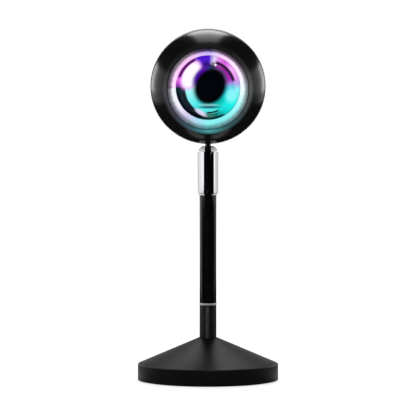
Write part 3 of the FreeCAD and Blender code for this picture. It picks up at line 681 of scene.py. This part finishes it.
# %% Wells, vents and the inlet
wells = [along_axis("well", well_bore, -14, -40, x, z) for x, z in screw_spots]
holes = [along_axis("hole", screw_hole, 0, -20, x, z) for x, z in screw_spots]
vent_count, vent_pitch, vent_width, vent_circle = 6, 5, 2.0, 17
vents = []
for index in range(vent_count):
    x = (index - (vent_count - 1) / 2) * vent_pitch
    half = math.sqrt(vent_circle ** 2 - x ** 2) + 1
    vents.append(stadium("vent", vent_width, head_centre - half, head_centre + half, 26, 44, x))
inlet = Matrix.Translation((0, 0, head_centre / 1000)) @ Matrix.Rotation(math.radians(-135), 4, "X")
hole_radius, flat_radius, flat_at, outside = 3.8, 5.6, 39.3, 45
inlet_hole = turn("inlet_hole", [(0, 20), (hole_radius, 20), (hole_radius, outside), (0, outside)], 64, inlet)
inlet_flat = turn("inlet_flat", [(0, flat_at), (flat_radius, flat_at), (flat_radius, outside), (0, outside)], 64, inlet)
combine(rear_shell, [*wells, *holes, *vents, inlet_hole, inlet_flat, neck_hole()])
dress(rear_shell, black_abs, "head", "rear_shell")

# %% [markdown]
# ## Light that comes through the optics
# The lamp is on. Its coloured light shows in two places: on the front lens, and on the conical wall of the light
# well round it. Both are lit from inside, so both use the shader's own emission, and both need the same
# coordinates: the angle round the optical axis and the distance from it. The next helper makes these from object
# coordinates, so the colours stay on the lamp from wherever it is seen.

# %% Polar coordinates round the optical axis
def round_the_axis(tree, x_shift=0.0, z_shift=0.0):
    """Angle in degrees (0 right, 90 top), distance from the axis and distance in front of the centre, in mm."""
    at = add(tree, "SeparateXYZ", {"Vector": add(tree, "TexCoord").outputs["Object"]}).outputs
    across = add(tree, "Math", {0: at["X"], 1: 1000.0, 2: -x_shift}, operation="MULTIPLY_ADD").outputs[0]
    upward = add(tree, "Math", {0: at["Z"], 1: 1000.0, 2: -head_centre - z_shift}, operation="MULTIPLY_ADD").outputs[0]
    turned = add(tree, "Math", {0: upward, 1: across}, operation="ARCTAN2").outputs[0]
    angle = add(tree, "Math", {0: turned, 1: 180 / math.pi}, operation="MULTIPLY").outputs[0]
    squared = add(tree, "Math", {0: across, 1: across}, operation="MULTIPLY").outputs[0]
    both = add(tree, "Math", {0: upward, 1: upward, 2: squared}, operation="MULTIPLY_ADD").outputs[0]
    distance = add(tree, "Math", {0: both, 1: 0.5}, operation="POWER").outputs[0]
    forward = add(tree, "Math", {0: at["Y"], 1: -1000.0}, operation="MULTIPLY").outputs[0]
    return angle, distance, forward


def wheel(tree, angle, stops):
    """Colours that follow one another round the axis, from (degrees, hex code) pairs."""
    place = add(tree, "Math", {0: angle, 1: 1 / 360, 2: 0.5}, operation="MULTIPLY_ADD").outputs[0]
    turned_stops = [(degrees / 360 + 0.5, colour(hex_code)) for degrees, hex_code in stops]
    return add(tree, "ValToRGB", {"Fac": place}, stops=turned_stops).outputs[0]


# %% [markdown]
# ## The light well
# The well is a funnel of smoked ABS. Near the lens its wall glows: pink and lavender above, where the lens sends
# red and blue, and cyan below. Further out the wall only has a grey shine left, and at the lip, six millimetres
# from the lens, it is dark. Only the inner wall is lit. It is a straight cone, so one sum of the distance from the
# axis and the distance in front tells it from the back of the funnel.

# %% Glow of the light well
well_back = -box_mm("light_well")[1].y
well_front = -box_mm("light_well")[0].y
well_radius = box_mm("light_well")[1].x
foot = 22.19
lip = 0.5
flare = (well_radius - lip - foot) / (well_front - well_back)
inner_wall_sum = foot - well_back * flare

well_glow, tree, shader = start_material("smoked_abs_lit_by_the_lens", Specular_IOR_Level=0.2)
angle, distance, forward = round_the_axis(tree)
tint = wheel(tree, angle, [
    (-180, "#f2fbff"), (-150, "#f4f4ff"), (-128, "#d9cdf2"), (-108, "#a8dcf2"), (-88, "#8cf4f6"),
    (-60, "#86eef0"), (-30, "#a8f6f8"), (-6, "#eaffff"), (12, "#f8f2ff"), (40, "#ffe4fd"),
    (62, "#fad6f8"), (90, "#c9b6f6"), (112, "#efc4f6"), (140, "#fcc4fa"), (165, "#ffdcfe"),
])
grey_tint = wheel(tree, angle, [
    (-180, "#9a9da1"), (-130, "#9692ac"), (-90, "#6cc2c2"), (-50, "#84a8ae"),
    (0, "#a6a8aa"), (40, "#6c626e"), (90, "#37323a"), (140, "#6c5f6e"),
])
polar = add(tree, "CombineXYZ", {"X": angle, "Y": distance}).outputs[0]
stretched = add(tree, "VectorMath", {0: polar, 1: (0.17, 0.35, 0)}, operation="MULTIPLY").outputs["Vector"]
streaks = add(tree, "TexNoise", {"Vector": stretched, "Scale": 1.0, "Detail": 2.0}).outputs["Fac"]
edge_at = add(tree, "Math", {0: streaks, 1: 1.4, 2: distance}, operation="MULTIPLY_ADD").outputs[0]
greyed = add(tree, "MapRange", {
    "Value": edge_at, "From Min": 24.6, "From Max": 27.0,
}, interpolation_type="SMOOTHSTEP").outputs[0]
glow_colour = add(tree, "Mix", {0: greyed, 6: tint, 7: grey_tint}, data_type="RGBA").outputs[2]
tree.links.new(glow_colour, shader.inputs["Emission Color"])
across_wall = add(tree, "Math", {0: forward, 1: -flare, 2: distance}, operation="MULTIPLY_ADD").outputs[0]
inner_side = add(tree, "MapRange", {
    "Value": across_wall, "From Min": inner_wall_sum + 0.15, "From Max": inner_wall_sum + 0.3,
    "To Min": 1.0, "To Max": 0.0,
}, interpolation_type="SMOOTHSTEP").outputs[0]
reach = add(tree, "MapRange", {
    "Value": edge_at, "From Min": 25.4, "From Max": 29.6, "To Min": 1.0, "To Max": 0.03,
}, interpolation_type="SMOOTHSTEP").outputs[0]
glow = add(tree, "Math", {0: reach, 1: inner_side}, operation="MULTIPLY").outputs[0]
tree.links.new(glow, shader.inputs["Emission Strength"])
print("the well's wall runs out", round(flare, 2), "mm for each mm forward")

# %% [markdown]
# Under the glow the funnel is plain dark ABS, with a grit of half a millimetre in its gloss. Its profile is a thin
# cone with a foot behind the lens and a short straight lip that fits the mouth of the front shell.

# %% Light well
grit = add(tree, "TexNoise", {"Vector": add(tree, "TexCoord").outputs["Object"], "Scale": 1000 / 0.5}).outputs["Fac"]
body_tone = add(tree, "Mix", {0: grit, 6: colour("#0e0e10"), 7: colour("#17171a")}, data_type="RGBA").outputs[2]
tree.links.new(body_tone, shader.inputs["Base Color"])
dull = add(tree, "MapRange", {
    "Value": grit, "From Min": 0.3, "From Max": 0.7, "To Min": 0.28, "To Max": 0.4,
}, interpolation_type="SMOOTHSTEP").outputs[0]
tree.links.new(dull, shader.inputs["Roughness"])
bump = add(tree, "Bump", {"Height": grit, "Distance": 0.00001, "Strength": 0.5}).outputs["Normal"]
tree.links.new(bump, shader.inputs["Normal"])

foot_outside = 24.9
light_well = turn("light_well_lit", [
    (foot, well_back, 0.1), (foot_outside, well_back, 0.2), (foot_outside, well_back + 1.5),
    (well_radius, well_front - 4.5), (well_radius, well_front), (well_radius - lip, well_front, 0.2),
], segments=192, place=optical_axis)
dress(light_well, well_glow, "head", "light_well")

# %% [markdown]
# The mouth of the front shell catches a little of the same light, on the last few millimetres before its face. The
# shell keeps its own finish: a copy of it gets one more wheel of dark colours as emission.

# %% Light that spills on the front shell
spill_finish = black_abs.copy()
spill_finish.name = "black_abs_with_light_spill"
tree = spill_finish.node_tree
shader = tree.nodes["Principled BSDF"]
angle, _, forward = round_the_axis(tree)
spill_colour = wheel(tree, angle, [
    (-180, "#3c3d40"), (-140, "#3c3a46"), (-110, "#2c5a68"), (-88, "#489c9e"), (-66, "#2c5a60"), (-35, "#3c4446"),
    (0, "#505254"), (35, "#2c2a2e"), (60, "#121112"), (120, "#121112"), (155, "#201e22"), (180, "#3c3d40"),
])
tree.links.new(spill_colour, shader.inputs["Emission Color"])
at_the_face = add(tree, "MapRange", {
    "Value": forward, "From Min": face - 3.4, "From Max": face - 0.2,
}, interpolation_type="SMOOTHSTEP").outputs[0]
tree.links.new(at_the_face, shader.inputs["Emission Strength"])
front_shell.data.materials[0] = spill_finish
print(front_shell.name, "now wears", spill_finish.name)

# %% [markdown]
# ## The front lens
# The projection lens is a thick glass dome with a dichroic coating. Its colours are an image of what lies behind
# it: the dark bore of the barrel as a black pupil, round it the coloured filter, magenta above and cyan below,
# and the dark edge of an inner lens. All this could be traced through real glass, but it would take thousands of
# samples and would be lost in an export. So the picture is painted in layers on the dome, as a glass eye is
# painted, and a clear gloss lies over it. The first two layers are colours that go round the axis: the outer
# glass, and the disc of the inner lens in front of it.

# %% Lens image: colours round the axis
lens_coating, tree, shader = start_material("dichroic_coated_glass", ior=1.52, Specular_IOR_Level=0.08)
angle, distance, forward = round_the_axis(tree, 0.3, 0.3)
polar = add(tree, "CombineXYZ", {"X": angle, "Y": distance}).outputs[0]
stretched = add(tree, "VectorMath", {0: polar, 1: (0.06, 0.5, 0)}, operation="MULTIPLY").outputs["Vector"]
ripple = add(tree, "TexNoise", {"Vector": stretched, "Scale": 1.0, "Detail": 3.0, "Roughness": 0.6}).outputs["Fac"]
outer_colours = wheel(tree, angle, [
    (-180, "#082834"), (-162, "#041620"), (-104, "#010308"), (-90, "#3f7a6c"), (-74, "#0f6a64"),
    (-56, "#10d2cc"), (-35, "#1af4ee"), (-4, "#86f2f6"), (7, "#b7a4ee"), (20, "#ec9cf6"),
    (38, "#f8aefc"), (56, "#d858e0"), (70, "#e488ee"), (78, "#e8d6fb"), (88, "#4c16d0"),
    (112, "#5410ca"), (124, "#e090f2"), (166, "#f266f2"), (177, "#8a3ca8"),
])
inner_colours = wheel(tree, angle, [
    (-180, "#b4fafa"), (-150, "#86f4f4"), (-124, "#48e6e8"), (-90, "#5ce8e8"), (-62, "#1cdcd4"),
    (-40, "#12ece6"), (-14, "#34eef0"), (1, "#55d2e6"), (12, "#a87cdc"), (21, "#aa22b6"),
    (48, "#980e9c"), (66, "#a624ae"), (78, "#2c0640"), (96, "#3c0a98"), (108, "#a868e4"),
    (120, "#fae8ff"), (166, "#fde6ff"), (176, "#e0e4fa"),
])
disc_distance = round_the_axis(tree, 1.5, -0.6)[1]
disc_edge = add(tree, "Math", {0: ripple, 1: disc_distance}, operation="ADD").outputs[0]
outside_disc = add(tree, "MapRange", {
    "Value": disc_edge, "From Min": 16.9, "From Max": 18.1,
}, interpolation_type="SMOOTHSTEP").outputs[0]
picture = add(tree, "Mix", {0: outside_disc, 6: inner_colours, 7: outer_colours}, data_type="RGBA").outputs[2]
print("two wheels of colour, the inner one out to about 17.5 mm")

# %% [markdown]
# The soft shapes come next. Each line of the table is one ellipse: its colour, its middle in millimetres across
# and above the axis, its half width and half height, its lean in degrees, how soft its edge is and how much it
# covers. They are a painted glare on the upper left, lighter and darker patches of the filter, the pupil with a
# dim rim round it, a painted lavender highlight on the lower left, and two painted highlights on top: a dim grey
# one and a white spark.

# %% Lens image: soft shapes
def ellipse(tree, x, z, half_width, half_height, lean, softness, cover):
    """Mask of an ellipse on the lens."""
    local = add(tree, "Mapping", {
        "Vector": add(tree, "TexCoord").outputs["Object"],
        "Location": (x / 1000, 0, (head_centre + z) / 1000),
        "Rotation": (0, math.radians(lean), 0),
        "Scale": (half_width / 1000, 1000, half_height / 1000),
    }, vector_type="TEXTURE").outputs["Vector"]
    length = add(tree, "VectorMath", {0: local}, operation="LENGTH").outputs["Value"]
    return add(tree, "MapRange", {
        "Value": length, "From Min": 1 - softness, "From Max": 1 + softness, "To Min": cover, "To Max": 0.0,
    }, interpolation_type="SMOOTHSTEP").outputs[0]


shapes = [
    ("#b4ffff", 15.6, -5.0, 3.0, 4.4, 10, 0.6, 0.5),      # light patch, right
    ("#00998c", 8.6, -9.4, 4.0, 2.2, -45, 0.6, 0.45),     # green patch, lower right
    ("#2c0870", -1.8, 14.4, 2.8, 4.2, 20, 0.5, 0.85),     # deep violet above the pupil
    ("#f0a8ff", -11.6, 8.8, 6.2, 10.4, 28, 0.22, 1.0),    # glare, its pink edge
    ("#fffaff", -11.7, 8.9, 5.0, 9.3, 28, 0.2, 1.0),      # glare, its white middle
    ("#0c5660", 1.6, 1.5, 11.6, 13.4, 25, 0.16, 0.7),     # dim rim round the pupil
    ("#5410a8", -5.0, 8.6, 3.6, 7.4, 38, 0.4, 1.0),       # violet between the glare and the pupil
    ("#000103", 1.6, 1.3, 10.3, 12.6, 24, 0.14, 1.0),     # the pupil
    ("#8ccccf", 0.4, -11.7, 6.0, 0.8, 0, 0.6, 0.8),       # pale line below the pupil
    ("#0b4c5c", 0.6, -13.1, 6.8, 0.9, 0, 0.6, 0.9),       # dark line below the pupil
    ("#e4dcfc", -5.0, -17.0, 4.4, 1.5, 32, 0.45, 0.9),    # painted highlight, lavender, lower left
    ("#77727a", 3.3, 16.6, 1.5, 1.1, 0, 0.5, 0.9),        # dim grey painted highlight on top, beside the spark
    ("#ffffff", 5.2, 15.9, 0.8, 0.8, 0, 0.4, 1.0),        # spark
]
for hex_code, *shape in shapes:
    mask = ellipse(tree, *shape)
    picture = add(tree, "Mix", {0: mask, 6: picture, 7: colour(hex_code)}, data_type="RGBA").outputs[2]
print(len(shapes), "soft shapes on the lens")

# %% [markdown]
# Thin lines finish the image: the edges of the inner lens and of the glass itself. Each line of this table is an
# arc: its colour, the degrees where it starts and ends, its radius and half its width in millimetres. Three soft
# steps make its mask: one across the line and one at each end.

# %% Lens image: fine arcs
arcs = [
    ("#2c0034", 10, 78, 17.8, 1.6),
    ("#5c0a66", 111, 166, 21.0, 1.5),
    ("#010c12", -98, -62, 17.3, 0.9),
    ("#02181c", -112, -56, 21.6, 0.9),
]
soft_end = 8
for hex_code, first, last, radius, half_width in arcs:
    off = add(tree, "Math", {0: distance, 1: radius}, operation="SUBTRACT").outputs[0]
    off = add(tree, "Math", {0: off}, operation="ABSOLUTE").outputs[0]
    mask = 1.0
    for value, start, end, low, high in (
        (off, half_width * 0.3, half_width, 1.0, 0.0),
        (angle, first, first + soft_end, 0.0, 1.0),
        (angle, last - soft_end, last, 1.0, 0.0),
    ):
        step = add(tree, "MapRange", {
            "Value": value, "From Min": start, "From Max": end, "To Min": low, "To Max": high,
        }, interpolation_type="SMOOTHSTEP").outputs[0]
        mask = add(tree, "Math", {0: step, 1: mask}, operation="MULTIPLY").outputs[0]
    picture = add(tree, "Mix", {0: mask, 6: picture, 7: colour(hex_code)}, data_type="RGBA").outputs[2]
tree.links.new(picture, shader.inputs["Emission Color"])
print(len(arcs), "arcs on the lens")

# %% [markdown]
# The image covers the dome and ends 10 mm in front of the head's centre, a millimetre down the ground rim, so that
# the edge of the dome shows no dark line. Under the image and behind it the glass is dark, and its polish varies a
# little with the same ripple.

# %% Lens glass
image_end = 10.0
in_front_of_it = add(tree, "MapRange", {
    "Value": forward, "From Min": image_end - 0.1, "From Max": image_end + 0.1,
}, interpolation_type="SMOOTHSTEP").outputs[0]
tree.links.new(in_front_of_it, shader.inputs["Emission Strength"])
dark_glass = add(tree, "Mix", {0: ripple, 6: colour("#020204"), 7: colour("#08080d")}, data_type="RGBA").outputs[2]
tree.links.new(dark_glass, shader.inputs["Base Color"])
polish = add(tree, "MapRange", {
    "Value": ripple, "From Min": 0.2, "From Max": 0.8, "To Min": 0.02, "To Max": 0.07,
}, interpolation_type="SMOOTHSTEP").outputs[0]
tree.links.new(polish, shader.inputs["Roughness"])
print(lens_coating.name, "has", len(tree.nodes), "nodes")

# %% [markdown]
# The glass itself is a plano-convex dome with a ground rim. The dome is part of a sphere, and its radius follows
# from the width of the dome and its height.

# %% Front lens
lens_back = -box_mm("front_lens")[1].y
lens_tip = -box_mm("front_lens")[0].y
lens_radius = box_mm("front_lens")[1].x
sag = 11.3
dome = lens_radius - 1
curve = (dome ** 2 + sag ** 2) / (2 * sag)
dome_angle = math.degrees(math.asin(dome / curve))
front_lens = turn("front_lens_coated", [
    *arc(curve, 0, dome_angle, 64, lens_tip - curve),
    (lens_radius, lens_tip - sag, 0.2), (lens_radius, lens_back, 0.3), (0, lens_back),
], segments=192, place=optical_axis)
dress(front_lens, lens_coating, "head", "front_lens")
print("lens dome: sphere radius", round(curve, 1), "mm, edge", round(lens_tip - sag, 2), "mm in front of the centre")

# %% [markdown]
# ## Rubber grommet
# The cable would enter through a moulded rubber grommet at the back. Rubber is matt, a little greyer in some
# places than in others, and its mould leaves a fine matt grain.

# %% Grommet
rubber = grained(
    "moulded_rubber", "#111112", "#1d1d1e", (0.62, 0.8), grain_mm=0.4, depth_mm=0.03, cloud_mm=4,
    Specular_IOR_Level=0.3,
)
cable_bore, collar_radius, groove, boss = 1.75, 5.2, 3.7, 3.0
collar_height, boss_height = 1.2, 4.2
seat = head_radius - 0.45
inner_seat = math.sqrt(inner_radius ** 2 - collar_radius ** 2) - 0.1
grommet = turn("cable_grommet_rubber", [
    (cable_bore, inner_seat - collar_height, 0.15), (collar_radius, inner_seat - collar_height, 0.4),
    (collar_radius, inner_seat, 0.2), (groove, inner_seat), (groove, seat), (collar_radius, seat, 0.2),
    (collar_radius, seat + collar_height, 0.5), (boss, seat + boss_height, 0.4),
    (cable_bore, seat + boss_height, 0.3),
], segments=96, place=inlet)
dress(grommet, rubber, "head", "cable_grommet")

# %% [markdown]
# ## Screws in the back
# Three long pan-head screws close the ball. They are zinc plated: a bright, slightly blue metal with a fine
# mottle. The cross recess is two crossed bars cut into the head, to a little over half its height.

# %% Shell screws
zinc = grained(
    "zinc_plated_steel", "#8f9298", "#b4b7bc", (0.26, 0.42), grain_mm=0.5, depth_mm=0.008, cloud_mm=2.5, metallic=1.0
)
screw_tip, under_head, screw_top = -12, 14, 16
screw_radius, screw_head = 1.25, 2.5
recess_floor, recess_reach, recess_lean = 14.9, 1.5, 0.4
for count, (x, z) in enumerate(screw_spots):
    spot = optical_axis @ Matrix.Translation((x / 1000, z / 1000, 0)) @ Matrix.Rotation(math.pi, 4, "X")
    bolt = turn("shell_screw_%d" % count, [
        (0, screw_tip), (screw_radius, screw_tip, 0.2), (screw_radius, under_head),
        (screw_head, under_head, 0.2), (screw_head, screw_top, 0.9), (0, screw_top),
    ], 48, spot)
    bars = []
    for lean in (recess_lean, recess_lean + math.pi / 2):
        bar = turn("bar", [
            (0, recess_floor), (recess_reach, recess_floor, 0.2), (recess_reach, screw_top + 1), (0, screw_top + 1),
        ], 24)
        bar.data.transform(Matrix.Diagonal((1, 0.27, 1, 1)))
        bar.data.transform(spot @ Matrix.Rotation(lean, 4, "Z"))
        bars.append(bar)
    combine(bolt, bars)
    dress(bolt, zinc, "head", "shell_screws")

# %% [markdown]
# ## The pieces inside
# The rest stays as the CAD model has it, because its shapes are right and little of it shows: fins behind the
# vents, or the plate under the foot. Each still gets the finish of its real material. The table gives the name,
# the two colours, the roughness, the grain in millimetres and its depth, whether it is a metal, and the nodes that
# wear it. Zinc and chrome are there already, and go on the plated pieces.

# %% Finishes inside
def finish_nodes(nodes, material):
    """Puts a finish on nodes that stay as the CAD model has them."""
    for node in nodes:
        for material_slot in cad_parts[node].material_slots:
            material_slot.material = material
    print(material.name, "on", ", ".join(nodes))


inside = [
    ("cast_iron_as_cast", "#2c2c2e", "#3f3e40", (0.55, 0.75), 0.9, 0.08, 1.0, ["base_weight"]),
    ("black_oxide_steel", "#141415", "#222224", (0.35, 0.5), 0.5, 0.01, 1.0, ["base_screws", "tie_rod"]),
    ("tempered_spring_steel", "#54565c", "#6c6a68", (0.25, 0.4), 0.3, 0.004, 1.0, ["disc_springs", "filter_clip"]),
    ("turned_brass", "#a9843f", "#c79d52", (0.22, 0.36), 0.2, 0.006, 1.0, ["stud_bush"]),
    ("moulded_nylon", "#cdcabd", "#dedbd0", (0.45, 0.6), 0.6, 0.01, 0.0, ["ball_seat", "sleeve_bush"]),
    ("black_abs_inside", "#121213", "#1c1c1e", (0.45, 0.6), 0.5, 0.01, 0.0,
     ["optics_barrel", "lens_ring", "condenser_ring"]),
    ("rubber_gasket", "#131314", "#1d1d1e", (0.65, 0.8), 0.4, 0.02, 0.0, ["lens_gasket"]),
    ("white_solder_mask", "#d9dad8", "#eceae6", (0.3, 0.42), 1.2, 0.01, 0.0, ["led_board"]),
    ("extruded_aluminium", "#9c9da1", "#b7b8bb", (0.3, 0.46), 0.4, 0.01, 1.0, ["heat_sink"]),
    ("green_solder_mask", "#0f4527", "#17603a", (0.28, 0.4), 0.8, 0.02, 0.0, ["driver_board"]),
    ("moulded_component_plastic", "#1b1b1d", "#2a2a2c", (0.4, 0.6), 0.3, 0.01, 0.0, ["driver_parts"]),
    ("wire_insulation", "#8c1512", "#a81f1a", (0.4, 0.5), 0.5, 0.01, 0.0, ["led_leads"]),
]
for name, dark, light, rough, grain_mm, depth_mm, metallic, nodes in inside:
    finish_nodes(nodes, grained(name, dark, light, rough, grain_mm, depth_mm, cloud_mm=5, metallic=metallic))
finish_nodes([
    "base_plate", "tie_washer", "tie_nut", "pan_washer", "pan_screw", "thrust_washer", "lock_nut",
    "led_screws", "sink_screws", "board_screws",
], zinc)
finish_nodes(["swivel_plug", "tension_plug"], chrome)

# %% [markdown]
# The filter and the condenser are glass, and the emitter is a yellow phosphor under a clear dome. Glass gets its
# look from transmission, with a faint unevenness of the polish in the roughness. The phosphor glows by itself.

# %% Glass and phosphor inside
for name, hex_code, node in (
    ("dichroic_filter_glass", "#9a6fd8", "colour_filter"),
    ("clear_condenser_glass", "#eef4f6", "condenser_lens"),
):
    glass, tree, shader = start_material(name, ior=1.52, Transmission_Weight=1.0)
    haze = add(tree, "TexNoise", {"Vector": add(tree, "TexCoord").outputs["Object"], "Scale": 1000 / 4}).outputs["Fac"]
    polish = add(tree, "MapRange", {
        "Value": haze, "From Min": 0.3, "From Max": 0.7, "To Min": 0.01, "To Max": 0.05,
    }, interpolation_type="SMOOTHSTEP").outputs[0]
    tree.links.new(polish, shader.inputs["Roughness"])
    tinted = add(tree, "Mix", {0: haze, 6: colour(hex_code), 7: colour("#f4f6f8")}, data_type="RGBA").outputs[2]
    tree.links.new(tinted, shader.inputs["Base Color"])
    finish_nodes([node], glass)
phosphor, tree, shader = start_material("emitter_phosphor", Emission_Strength=1.0, Roughness=0.6)
here = add(tree, "TexCoord").outputs["Object"]
crystals = add(tree, "TexVoronoi", {"Vector": here, "Scale": 1000 / 0.4}).outputs["Distance"]
yellow = add(tree, "Mix", {0: crystals, 6: colour("#f4cf4a"), 7: colour("#e0b02c")}, data_type="RGBA").outputs[2]
tree.links.new(yellow, shader.inputs["Base Color"])
tree.links.new(yellow, shader.inputs["Emission Color"])
finish_nodes(["led_emitter"], phosphor)

# %% [markdown]
# ## The table and the backdrop
# The lamp stands on a plain pale table before a white background. The camera should see pure white with a soft
# shadow, yet the table must not throw more light on the lamp than a pale table does. So the table is an ordinary
# diffuse surface to the light, and only for the camera, for mirrors and through glass does it add its own white.
# Further from the lamp less light falls on it, so that white grows with the distance from the lamp.

# %% Table
def seen_directly(tree):
    """1 for rays from the camera, from a mirror and through glass."""
    rays = add(tree, "LightPath").outputs
    mirror_or_glass = add(tree, "Math", {0: rays["Is Glossy Ray"], 1: rays["Is Transmission Ray"]})
    return add(tree, "Math", {0: rays["Is Camera Ray"], 1: mirror_or_glass.outputs[0]}, use_clamp=True).outputs[0]


table_paint, tree, shader = start_material("pale_table")
here = add(tree, "TexCoord").outputs["Object"]
fine = add(tree, "TexNoise", {"Vector": here, "Scale": 40.0}).outputs["Fac"]
pale = add(tree, "Mix", {0: fine, 6: colour("#e4e4e4"), 7: colour("#eaeaea")}, data_type="RGBA").outputs[2]
plain = add(tree, "BsdfDiffuse", {"Color": pale}).outputs[0]
darker = add(tree, "BsdfDiffuse", {"Color": colour("#a9a9a9")}).outputs[0]
far = add(tree, "VectorMath", {0: here}, operation="LENGTH").outputs["Value"]
own_white = add(tree, "MapRange", {
    "Value": far, "From Min": 0.25, "From Max": 1.6, "To Min": 0.66, "To Max": 0.86,
}, interpolation_type="SMOOTHSTEP").outputs[0]
lift = add(tree, "Emission", {"Strength": own_white}).outputs[0]
white = add(tree, "AddShader", {0: darker, 1: lift}).outputs[0]
surface = add(tree, "MixShader", {0: seen_directly(tree), 1: plain, 2: white}).outputs[0]
tree.links.new(surface, tree.nodes["Material Output"].inputs["Surface"])
tree.nodes.remove(shader)
work = bmesh.new()
bmesh.ops.create_grid(work, x_segments=8, y_segments=8, size=12)
table = from_bmesh("table", work)
table.data.materials.append(table_paint)
print("table", round(table.dimensions.x), "m wide, its own white drawn by", len(tree.nodes), "nodes")

# %% [markdown]
# The world does the same: a dim bluish light for every surface, and plain white for the camera, for mirrors and
# through glass.

# %% World
world = bpy.data.worlds.new("studio")
bpy.context.scene.world = world
world.use_nodes = True
tree = world.node_tree
tree.nodes.clear()
ambient = add(tree, "Background", {"Color": colour("#eef2f7"), "Strength": 0.45}).outputs[0]
backdrop = add(tree, "Background", {"Color": (1, 1, 1, 1), "Strength": 1.0}).outputs[0]
sky = add(tree, "MixShader", {0: seen_directly(tree), 1: ambient, 2: backdrop}).outputs[0]
add(tree, "OutputWorld", {"Surface": sky})
print(world.name, "world has", len(tree.nodes), "nodes")

# %% [markdown]
# ## Light
# A black lamp shows its shape only by what it reflects, so the light on each side is built from upright panels half
# a metre away, with different strengths. The front ones make the white flanks of the chrome, and stop where their
# mirror image would run below the chrome, down the stem. A panel further off is mirrored higher, so there are two a
# side, each with its own lower edge. On the right they start nearer the lamp, because the black middle of the chrome
# is wider there. From the lamp backwards come a low panel for the thin bright line on the edge of the stem, one for
# the grey outline of the chrome, a high one for the flank of the ball, and two more further back.
# A long narrow softbox hangs above and behind, for the top of the ball and the cone. Two weaker ones above the sides
# and a large one in front light the colours, and leave no reflection. A strip on the table in front, under a black
# lid that hides it from the ball, gives the satin sleeve its soft middle line.

# %% Softboxes
def softbox(name, place, towards, width, height, radiance, in_gloss=True, in_diffuse=True):
    """Rectangular area light. Radiance 1 looks like plain white in a mirror."""
    data = bpy.data.lights.new(name, "AREA")
    data.shape = "RECTANGLE"
    data.size, data.size_y = width, height
    data.energy = radiance * math.pi * width * height
    lamp = link(name, data)
    lamp.location = place
    lamp.rotation_euler = (Vector(towards) - Vector(place)).to_track_quat("-Z", "Y").to_euler()
    lamp.visible_camera = False
    lamp.visible_glossy = in_gloss
    lamp.visible_diffuse = in_diffuse


aside = 0.5


def below_the_chrome(start, end):
    """Height that the camera sees mirrored at the foot of the chrome, for a panel from start to end."""
    return housing_low / 1000 - math.tan(camera_rise) * math.hypot(aside, (start + end) / 2)


for side, name, first, low, outline in ((-1, "left", -0.46, 1.1, 1.2), (1, "right", -0.2, 0.4, 0.95)):
    half = first / 2
    for part, start, end, bottom, top, radiance in (
        ("front_far", first, half, below_the_chrome(first, half), 0.37, 1.5),
        ("front", half, 0.0, below_the_chrome(half, 0.0), 0.37, 1.5),
        ("outline", 0.0, 0.46, 0.08, 0.125, outline),
        ("high", 0.0, 0.46, 0.125, 0.37, 1.7),
        ("low", 0.0, 0.46, 0.01, 0.08, low),
        ("rear", 0.46, 1.08, 0.11, 0.37, 3.3),
        ("rear_low", 0.46, 1.08, 0.01, 0.11, 0.8),
    ):
        place = Vector((aside * side, (start + end) / 2, (bottom + top) / 2))
        softbox("softbox_%s_%s" % (name, part), place, place * Vector((0, 1, 1)), end - start, top - bottom, radiance)
softbox("softbox_top", (0, 0.74, 1.15), (0, 0, 0.2), 0.56, 1.1, 5.2)
softbox("softbox_upper_left", (-0.66, 0.2, 1.0), (0, 0, 0.16), 0.5, 0.6, 0.9, in_gloss=False)
softbox("softbox_upper_right", (0.66, 0.2, 1.0), (0, 0, 0.16), 0.5, 0.6, 0.9, in_gloss=False)
softbox("fill_front", (0, -1.6, 0.9), (0, 0, 0.15), 1.6, 1.2, 1.15, in_gloss=False)
softbox("strip_low_front", (-0.1, -0.5, 0.002), (-0.1, -0.5, 1.0), 0.34, 0.3, 8, in_diffuse=False)
print(len(bpy.data.lights), "area lights")

# %% [markdown]
# Black flags keep the rest of the room out of the reflections: a tent of black cloth round the front, the top and
# the sides, open at the back where the white backdrop shows, black velvet on the table, and the lid over the strip.
# Only mirror reflections see them, so they take no light from the lamp and never stand in the camera's way.

# %% Black flags
velvet, tree, shader = start_material("black_velvet", Roughness=1.0, Specular_IOR_Level=0.0)
shader.inputs["Base Color"].default_value = colour("#060606")


def flag(name, points, start=0.0, end=360.0, steps=96):
    """Cloth hung round the lamp: (radius, height) points in metres, swept between two angles from the back."""
    work = bmesh.new()
    columns = []
    for step in range(steps + 1):
        a = math.radians(90 + start + (end - start) * step / steps)
        columns.append([work.verts.new((r * math.cos(a), r * math.sin(a), h)) for r, h in points])
    for one, other in zip(columns, columns[1:]):
        for index in range(len(points) - 1):
            work.faces.new([one[index], one[index + 1], other[index + 1], other[index]])
    cloth = from_bmesh(name, work)
    cloth.data.materials.append(velvet)
    cloth.visible_camera = cloth.visible_diffuse = cloth.visible_shadow = False
    cloth.visible_transmission = cloth.visible_volume_scatter = False
    print(name, "hung")


tent, pile, lid = 1.9, 0.0003, 0.0505
tent_side = [(tent * math.cos(a), tent * math.sin(a)) for a in (math.pi / 2 * step / 12 for step in range(12))]
flag("black_tent", tent_side, 12, 348)
flag("black_roof", [(1.2, 1.55), (0.02, 1.6)])
flag("velvet_close", [(0.047, pile), (0.11, pile)], 100, 260)
flag("velvet_on_table", [(0.11, pile), (0.6, pile)])
flag("velvet_in_front", [(0.6, pile), (tent, pile)], 12, 348)
flag("lid_of_the_strip", [(0.013, lid), (0.75, lid)], 125, 205)

# %% [markdown]
# The dressed lamp must fill the same box as the solids. The last cell only brings the scene up to date.

# %% Update the scene
bpy.context.view_layer.update()
